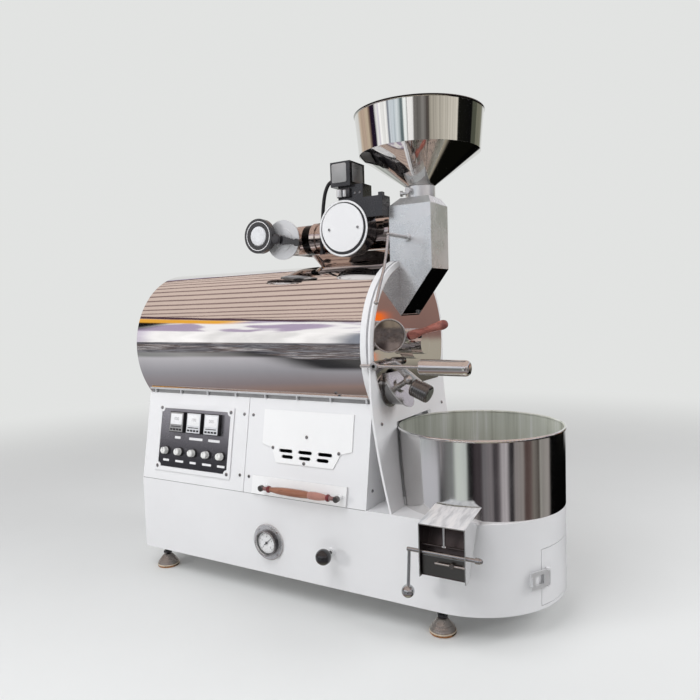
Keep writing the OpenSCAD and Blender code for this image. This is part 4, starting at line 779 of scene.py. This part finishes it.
def fan():
    c = Vector((-101, -80, Z_FAN))

    def near(x, y, z):
        return Matrix.Translation(c + Vector((x, y, z)))

    s = Shape("fan_trim")
    at = near(0, 0, 0) @ OUT_Y
    s.lathe([(-1.5, 64.8), (0.6, 64.6), (1.6, 63.4), (1.6, 60.4), (0.4, 59.9), (-1.5, 59.9)],
            at, "white_paint", 96, 0.5)
    # Bare pale plates on the motor box
    z0 = Z_FAN + 65 + 30
    s.slab(rounded([(-23, z0 + 9), (16, z0 + 9), (16, z0 + 52), (-23, z0 + 52)], 5, 4, True),
           -1.1, 0.9, "pale_plate", move(c.x, c.y - 5, 0), 0.4)
    m = move(c.x + 25, c.y, 0) @ Matrix.Rotation(pi / 2, 4, "Z")
    s.slab(rounded([(6, z0 + 9), (52, z0 + 9), (52, z0 + 52), (6, z0 + 52)], 4, 4, True),
           -1.2, 0.8, "pale_plate", m, 0.4)
    for i in range(9):
        z = z0 + 13.5 + i * 4.3
        s.box(10, 48, -1.8, -0.9, z - 0.9, z + 0.9, "pale_plate", m, 0.35)
    # Terminal block, capacitor and nuts at the neck
    s.box(-14.5, 20, -0.5, 6.5, 70, 90, "black_paint", near(0, 0, 0), 1.2)
    s.lathe([(0, 0), (0, 6.5), (16, 6.5), (17, 5.5), (17, 0)],
            near(-6, -2.5, 71), "dial_steel", 32, 0.8)
    s.lathe([(0, 0), (0, 4.2), (14, 4.2), (15, 3.4), (15, 0)],
            near(8, -2.5, 71), "dial_steel", 32, 0.8)
    for x in (30, 43):
        s.head(near(x, 6, 78) @ OUT_Y, 3.4)
    for x in (-38, 38):
        s.head(near(x, -1.35, 0) @ OUT_Y, 3.0, h=0.9)
    s.done("chassis", "black_paint")

    k = Shape("fan_lead")
    path = [(-31, 22, 115), (-39, 22, 114.6), (-50, 20.6, 107), (-59, 20, 88), (-64.5, 20, 62),
            (-68, 20.6, 36), (-72, 22.4, 10), (-77.5, 27, -13), (-82.5, 34.5, -32),
            (-84, 39.6, -46), (-84, 40, -51)]
    k.tube([tuple(c + Vector(p)) for p in path], 4.3, "cable_rubber", 20, 6)
    k.lathe([(0, 7.6), (3, 7.6), (3.6, 7.0), (8.5, 7.0), (10.4, 5.4), (10.4, 4.2)],
            move(c.x - 84, c.y + 40, 807.8), "black_plastic", 6)
    k.lathe([(0, 6.9), (4, 6.9), (6.5, 5.0), (6.5, 4.2)],
            along((-1, 0, 0), c + Vector((-26.5, 22, 115))), "black_plastic", 28, 0.5)
    k.done("chassis", "cable_rubber", ["fan_cable"])


# Damper's hand disc

def damper():
    s = Shape("damper_trim")
    turn = move(-289, -60, Z_PIPE) @ Matrix.Rotation(radians(12), 4, "Y")
    at = turn @ move(-56, -28, 0) @ OUT_Y
    s.lathe([(-0.8, 36.4), (0.5, 36.4), (0.8, 35.6), (0.5, 34.6), (-0.8, 34.6)], at,
            "print_white", 96, 0.2)
    s.lathe([(-2.2, 24.8), (-1.4, 24.4), (0.9, 22.8), (1.5, 17), (1.8, 0)], at, "meter_face",
            96, 0.8)
    s.lathe([(0, 11.5), (1.6, 10.8), (2.4, 9.4), (2.4, 0)], turn @ move(0, -28, 0) @ OUT_Y,
            "black_paint", 40, 0.6)
    s.done("damper", "black_paint")


# Feet

def feet():
    s = Shape("feet")
    for x in (-634, 160):
        for y in (-165, 165):
            at = move(x, y, 0)
            s.lathe([(0.0, 0), (0.0, 26.6), (1.0, 27.8), (6.5, 28.0), (7.4, 27.4)], at,
                    "copper_rim", 56, 0.6)
            s.lathe([(6.8, 26.4), (7.6, 27.6), (9, 27.2), (12, 26), (12.8, 24.4), (14, 24.6),
                     (18, 21.8), (18.8, 20.0), (20, 20), (24, 16.6), (27, 14), (30.5, 10.6),
                     (31, 0)], at, "foot_grey", 56, 0.8)
            s.lathe([(4.4, 28.0), (5.2, 28.15), (6.6, 28.1), (7.2, 27.6)], at, "foot_rim", 56)
            for z in (34, 60):
                s.lathe([(0, 6), (0, 10.9), (0.9, 11.9), (5.1, 11.9), (6, 10.9), (6, 6)],
                        at @ move(0, 0, z), "black_paint", 6)
            s.lathe([(52.9, 6.5), (52.9, 13.6), (53.3, 14), (57.6, 14), (57.9, 13.5)], at,
                    "black_paint", 40, 0.2)
            thread = [(30, 6.1)]
            for i in range(18):
                z = 30.5 + i * 1.25
                thread += [(z, 6.1), (z + 0.62, 6.95)]
            s.lathe(thread + [(53, 6.3), (68.8, 6.3), (69, 0)], at, "black_paint", 28)
    s.done("chassis", "foot_rubber", ["levelling_feet"])


# Sight glass

def sight():
    s = Shape("sight_tube")
    at = along((0.6, -0.8, 0), (26, -126, 616))
    s.lathe([(-42, 27.2), (-42, 29.9), (33, 29.9), (34.4, 31), (34.4, 35), (35.4, 36),
             (41, 36), (42, 35), (42, 33.6), (41, 33), (36.5, 32.6), (-42, 27.2)], at,
            "satin_steel", 80, 0.5)
    s.cut((26, 0, 0), (1, 0, 0))
    s.lathe([(36.4, 32.8), (37.6, 32.2), (37.9, 0)], at, "sight_pane", 64, 0.3)
    s.done("chassis", "satin_steel", ["sight_glass"])


# Discharge lever with its grip, arm and counterweight

def lever():
    hx, hz = 36.0, 555.0                         # axis of the lid's shaft
    shaft = along((0, 1, 0), (hx, 0, hz))
    s = Shape("lid_lever")
    s.lathe([(-206, 0), (-206, 4.2), (-205, 5), (-63, 5), (-62, 4.2), (-62, 0)], shaft,
            "satin_steel", 32, 0.3)
    s.lathe([(-119.5, 5), (-119.5, 6), (-119, 6.6), (-105, 6.6), (-104.5, 6), (-104.5, 5)],
            shaft, "satin_steel", 32, 0.3)
    s.lathe([(-206, 0), (-206, 8), (-205, 9), (-195, 9), (-194, 8), (-194, 5)], shaft,
            "satin_steel", 40, 0.5)
    x = along((1, 0, 0), (hx, -200, hz))
    s.lathe([(-34, 0), (-34, 2.4), (-33, 3.5), (100, 3.5)], x, "satin_steel", 28, 0.6)
    s.lathe([(98, 3.4), (99, 6), (102, 6.4), (103, 14.6), (104.6, 16), (198, 16), (203, 15),
             (206.5, 12), (207.8, 8), (208, 0)], x, "grip_steel", 64, 2.6)
    arm = move(hx, 0, hz) @ Matrix.Rotation(radians(37), 4, "Y")
    s.slab(rounded([(-7, -6), (-3, -8), (84, -8), (92, -5), (92, 5), (84, 8), (-3, 8), (-7, 6)],
                   3, 3, True), -115, -109, "satin_steel", arm, 0.8)
    lid = move(24, -112, 536) @ Matrix.Rotation(radians(58), 4, "Y")
    s.lathe([(-11, 0), (-10.6, 2.8), (-9, 6.3), (-5.5, 9.5), (0, 11), (5.5, 9.5), (9, 6.3),
             (10.6, 2.8), (11, 0)], lid @ move(40, 0, 30), "satin_steel", 40, 2)
    w = move(hx + 64, -112, hz - 60) @ Matrix.Rotation(radians(90 + 23), 4, "Y")
    ribs = []
    for i in range(7):
        z = -16 + i * 5
        ribs += [(z, 20), (z + 2.4, 20), (z + 3.1, 18.6), (z + 4.3, 18.6)]
    s.lathe([(-22, 0), (-22, 15.5), (-20.5, 18.2), (-18.5, 19.6)] + ribs
            + [(19.4, 19.4), (21, 17.6), (22, 14.8), (22, 0)], w, "mirror_painted_dark", 56, 0.3)
    s.done("outlet_door", "satin_steel", ["discharge_lever"])


def flap_bar():
    y, z = -260.6, 186.5
    s = Shape("flap_bar")
    s.tube([(187, y, z), (218, y, z), (247.5, y, z)], 1.9, "satin_steel", 16, 2)
    s.lathe([(-1.5, 0), (-1.5, 5.4), (1.6, 5.4), (2.2, 4.6), (2.2, 0)],
            move(222, -262, z) @ OUT_Y, "dark_steel", 6)
    for x in (191, 243):
        s.lathe([(-4.8, 0), (-4.8, 2.2), (0, 2.2), (0, 0)], move(x, y, z) @ OUT_Y,
                "satin_steel", 16)
    s.done("spout_door", "dark_steel")


# Ball of the air rod

def air_ball():
    r = 17.5
    s = Shape("air_ball")
    at = move(-85, -235, 141) @ OUT_Y
    arc = [(-r * cos(pi * i / 24), r * sin(pi * i / 24)) for i in range(25)]
    # A flat spot on its back for the nut
    s.lathe([(-16.4, 0), (-16.4, 5.6)] + [p for p in arc if p[0] > -16.3], at, "ball_black", 64)
    s.lathe([(-20, 4), (-20, 6.6), (-16, 6.6), (-15.5, 5)], at, "zinc_screw", 6)
    s.done("air_pull", "black_plastic", ["ball_knob"])


# Studio: a plain pale floor and backdrop, soft lamps, and cards for the polished steel to mirror

PALE = (0.76, 0.77, 0.76)


def az(degrees):
    return (degrees + 180) / 360


def seen(r, g, b):
    """Emission that a polished sheet shows as this display colour."""
    return tuple(min(1.1, v ** 2.2 / 0.79) for v in (r, g, b))


def bands(n, x, stops, place=float):
    """Ramp of (place, display colour) stops, cut in two where one ramp can't hold them."""
    stops = [(place(p), seen(*c)) for p, *c in stops]
    if len(stops) <= 30:
        return n.ramp(x, stops)
    k = len(stops) // 2
    return n.mix(n.math("GREATER_THAN", x, stops[k][0]), n.ramp(x, stops[:k + 1]),
                 n.ramp(x, stops[k:]))


def stage_object(name, me, m):
    o = add_object(name, me)
    me.materials.append(m)
    return o


def floor():
    me = bpy.data.meshes.new("floor")
    k, r = 64, 30.0
    me.from_pydata([(r * cos(2 * pi * i / k), r * sin(2 * pi * i / k), -0.0005)
                    for i in range(k)], [], [list(range(k))])
    n, s = new_material("floor")
    m, at = M["floor"], n.at()
    n.feed(s, Base_Color=n.mix(n.noise(at, 3, 4), (0.80, 0.81, 0.80), (0.77, 0.78, 0.77)),
           Roughness=0.75)
    # Far off, the floor runs into the backdrop
    far = n.new("ShaderNodeVectorMath", {"operation": "LENGTH"}, i0=at).outputs["Value"]
    seen_by = n.new("ShaderNodeLightPath").outputs["Is Camera Ray"]
    fac = n.mul(n.step(far, 1.2, 3.6), seen_by)
    glow = n.new("ShaderNodeEmission", Color=(*PALE, 1), Strength=1.0)
    mix = n.new("ShaderNodeMixShader", i0=fac, i1=s.outputs[0], i2=glow.outputs[0])
    n.feed(n.t.nodes["Material Output"], Surface=mix.outputs[0])
    m.cycles.emission_sampling = "NONE"
    stage_object("floor", me, m).visible_glossy = False


def cards():
    """A far sphere that only mirror rays see; its bare parts let the pale backdrop through."""
    bm = bmesh.new()
    bmesh.ops.create_icosphere(bm, subdivisions=4, radius=60)
    me = bpy.data.meshes.new("cards")
    bm.to_mesh(me)
    bm.free()
    n = new_material("cards")[0]
    m = M["cards"]
    n.t.nodes.clear()
    d = n.new("ShaderNodeVectorMath", {"operation": "NORMALIZE"}, i0=n.at()).outputs[0]
    x, y, z = n.xyz(d)
    true_turn = n.math("MULTIPLY_ADD", n.math("ARCTAN2", y, x), 1 / (2 * pi), 0.5)
    wobble = n.mul(n.math("SUBTRACT", n.noise(d, 5, 3), 0.5), 0.014)
    turn = n.math("ADD", true_turn, wobble)

    def within(v, a, b, soft):
        return n.mul(n.step(v, a - soft, a + soft),
                      n.math("SUBTRACT", 1.0, n.step(v, b - soft, b + soft)))

    def sector(a, b, soft):
        return within(true_turn, az(a), az(b), soft)

    upper = bands(n, turn, [
        (-180, .70, .62, .56), (-168, .74, .68, .60), (-161, .40, .33, .30),
        (-158, .16, .12, .18), (-149, .14, .11, .17), (-146, .97, .97, 1), (-142.5, .97, .97, 1),
        (-141, .74, .70, .80), (-139.5, 1, 1, 1), (-123, 1, 1, 1), (-121, .50, .52, .56),
        (-119, .48, .50, .54), (-117, .80, .83, .86), (-108, .73, .77, .80),
        (-104, .84, .87, .89), (-99, .68, .72, .74), (-97, .38, .43, .44), (-93, .36, .41, .42),
        (-91.5, .90, .92, .92), (-87, .90, .92, .92), (-86, .42, .42, .42), (-85, 1, 1, 1),
        (-76, .97, .97, .96), (-74, .43, .42, .41), (-66, .38, .37, .36), (-58, .52, .51, .50),
        (-52, .30, .28, .27), (-49, .34, .32, .30), (-46, .62, .60, .56), (5, .80, .78, .74),
        (7, .10, .10, .09), (40, .08, .08, .08), (43, .32, .33, .29), (54, .30, .31, .27),
        (57, .45, .45, .40), (78, .45, .45, .40), (110, .72, .72, .66), (150, .74, .68, .60),
        (180, .70, .62, .56)], az)
    lower = bands(n, turn, [
        (-180, .69, .70, .70), (-150, .59, .61, .61), (-134, .54, .54, .54),
        (-129, .26, .26, .26), (-126, .17, .17, .18), (-121, .30, .30, .30),
        (-116, .42, .42, .42), (-107, .46, .47, .47), (-103, .73, .75, .73), (-90, .74, .76, .75),
        (-87, .13, .13, .13), (-81, .11, .10, .11), (-78, .23, .21, .22), (-70, .25, .23, .24),
        (-66, .42, .41, .42), (-56, .46, .44, .45), (-53, .21, .20, .21), (-47, .31, .29, .30),
        (-43, .61, .59, .60), (-36, .65, .63, .64), (-32, .18, .17, .18), (-27, .16, .15, .16),
        (-24, .51, .49, .49), (-13, .52, .50, .49), (-10, .31, .26, .25), (-2, .34, .29, .28),
        (3, .48, .46, .44), (11, .23, .21, .20), (14, .56, .55, .53), (30, .54, .52, .51),
        (34, .05, .05, .05), (120, .05, .05, .05), (130, .56, .57, .56), (155, .76, .78, .76),
        (180, .69, .70, .70)], az)
    # Fine upright streaks on both
    fine = n.new("ShaderNodeCombineXYZ", X=n.mul(turn, 150.0), Y=n.mul(z, 2.0)).outputs[0]
    thin = n.noise(fine, 1.0, 3, 0.6)
    gain = n.step(thin, 0.30, 0.70, 0.82, 1.15)

    # Grey floor of the room, pinkish close to the machine
    grey = bands(n, n.math("MULTIPLY_ADD", z, 0.5, 0.5), [
        (0, .70, .70, .62), (0.04, .60, .58, .52), (0.09, .43, .38, .36), (0.13, .52, .45, .43),
        (0.16, .50, .47, .48), (0.25, .56, .56, .58), (0.35, .67, .67, .69),
        (0.43, .76, .75, .78)])
    cloth = bands(n, n.noise(n.scaled(d, 7, 7, 1.0), 1.4, 4, 0.65), [
        (0.30, .20, .17, .17), (0.44, .44, .38, .37), (0.52, .62, .56, .53),
        (0.60, .92, .88, .86), (0.66, .40, .34, .33)])
    behind = n.mul(within(z, -0.96, -0.42, 0.02),
                    n.step(n.math("ABSOLUTE", n.math("SUBTRACT", true_turn, 0.5)), 0.36, 0.42))
    col = n.mix(n.mul(behind, n.step(y, -0.06, 0.02)), grey, cloth)
    shade = sector(14, 126, 0.006)
    col = n.mix(n.mul(shade, n.step(z, -0.90, -0.86)), col, seen(.07, .07, .06))
    side = n.step(z, -0.52, -0.42)
    col = n.mix(side, col, n.gain(lower, gain))
    # The drum mirrors a plain floor there, not the bands
    plain = n.mul(sector(-168, -129, 0.008),
                   n.step(z, -0.20, -0.26))
    col = n.mix(plain, col, grey)
    # Things along the walls: broken dark, light and warm patches
    clutter = bands(n, n.noise(n.scaled(d, 10, 10, 22), 1, 4, 0.7), [
        (0.30, .17, .17, .18), (0.42, .31, .31, .33), (0.48, .58, .58, .60),
        (0.50, .25, .25, .27), (0.57, .40, .35, .33), (0.60, .80, .80, .81),
        (0.64, .27, .26, .28)])
    dip = n.mul(sector(-128, -119, 0.007), 0.13)
    low = n.math("ADD", z, dip)
    col = n.mix(n.step(low, -0.155, -0.125), col, clutter)
    # What the front disc mirrors: an orange thing before a brown one, pale below
    front = bands(n, n.math("MULTIPLY_ADD", z, 2.0, 0.5), [
        (0.20, .24, .24, .22), (0.29, .34, .33, .30), (0.33, .60, .58, .53),
        (0.385, .60, .58, .53), (0.40, .46, .36, .34), (0.52, .50, .40, .37),
        (0.62, .60, .55, .52)])
    col = n.mix(n.mul(sector(52, 80, 0.01),
                       within(z, -0.19, 0.06, 0.01)), col, front)
    glow = n.mul(sector(57.5, 62.3, 0.002),
                  within(z, -0.064, -0.010, 0.003))
    spot = n.mul(sector(58.5, 61.2, 0.002),
                  within(z, -0.090, -0.074, 0.003))
    col = n.mix(n.math("MAXIMUM", glow, spot), col, seen(.97, .42, .08))
    col = n.mix(n.step(z, 0.050, 0.066), col, n.gain(upper, gain))
    panes = bands(n, n.noise(n.scaled(d, 5, 5, 3), 1.3, 2, 0.5), [
        (0, .72, .68, .76), (0.44, .70, .66, .74), (0.46, 1, 1, 1), (0.56, 1, 1, 1),
        (0.58, .66, .61, .70)])
    col = n.mix(n.step(z, 0.26, 0.28), col, panes)
    left = n.math("SUBTRACT", 1.0, n.step(true_turn, az(-143.5), az(-141)))
    col = n.mix(n.mul(left, within(z, 0.27, 0.44, 0.02)), col, seen(.10, .10, .10))
    warm = n.mul(sector(-152, -136.5, 0.004),
                  within(z, 0.41, 0.47, 0.012))
    col = n.mix(warm, col, seen(.90, .66, .26))
    col = n.mix(n.step(z, 0.465, 0.475), col, seen(.30, .23, .27))
    # Slatted ceiling, its slats along the drum
    u = n.math("DIVIDE", y, n.math("MAXIMUM", z, 0.2))
    slat = n.math("FRACT", n.mul(u, 5.6))
    slats = n.mix(n.step(slat, 0.66, 0.82), seen(.79, .72, .68), seen(.47, .40, .39))
    col = n.mix(n.step(z, 0.50, 0.505), col, slats)
    light = n.new("ShaderNodeEmission", Color=col, Strength=1.0)
    gap = n.new("ShaderNodeBsdfTransparent")
    # Bare: the brightest stretch, beside the window
    bare = n.mul(sector(82, 160, 0.02), within(z, -0.2, 0.45, 0.03))
    mix = n.new("ShaderNodeMixShader", i0=bare, i1=light.outputs[0], i2=gap.outputs[0])
    n.new("ShaderNodeOutputMaterial", Surface=mix.outputs[0])
    m.cycles.emission_sampling = "NONE"
    o = stage_object("cards", me, m)
    o.location = (0, 0, 0.6)
    o.visible_camera = o.visible_diffuse = o.visible_transmission = False
    o.visible_shadow = o.visible_volume_scatter = False


def studio():
    sc = bpy.context.scene
    sc.view_settings.view_transform = "Standard"
    floor()
    cards()
    w = bpy.data.worlds.new("studio")
    sc.world = w
    w.use_nodes = True
    n = Nodes(w.node_tree)
    n.t.nodes.clear()
    z = n.xyz(n.new("ShaderNodeTexCoord").outputs["Generated"])[2]
    soft = n.mix(n.step(z, -0.2, 0.9), (.66, .67, .69), (.98, .98, 1.0))
    path = n.new("ShaderNodeLightPath").outputs
    shade = n.new("ShaderNodeBackground", Color=soft, Strength=0.49)
    back = n.new("ShaderNodeBackground", Color=(*PALE, 1), Strength=1.0)
    see = n.math("MAXIMUM", path["Is Camera Ray"],
                 n.math("MAXIMUM", path["Is Glossy Ray"], path["Is Transmission Ray"]))
    b = n.new("ShaderNodeMixShader", i0=see, i1=shade.outputs[0], i2=back.outputs[0])
    n.new("ShaderNodeOutputWorld", Surface=b.outputs[0])

    def lamp(name, at, to, size, power, color=(1, 1, 1)):
        data = bpy.data.lights.new(name, "AREA")
        data.shape, data.size, data.energy, data.color = "DISK", size, power, color
        o = add_object(name, data)
        o.matrix_world = along(Vector(at) - Vector(to), at)
        o.visible_glossy = False

    lamp("key", (-1.5, -2.3, 0.75), (0.05, 0, 0.35), 0.5, 14, (1, 0.99, 0.98))
    lamp("top", (-0.3, -1.6, 2.6), (0, 0, 0.4), 2.0, 40, (0.97, 0.98, 1))
    lamp("fill", (2.2, 0.7, 1.5), (0.2, 0, 0.5), 1.4, 24, (0.99, 0.99, 1))


make_camera()
gauge()
panel()
screws()
handles()
fan()
damper()
feet()
sight()
lever()
flap_bar()
air_ball()
studio()
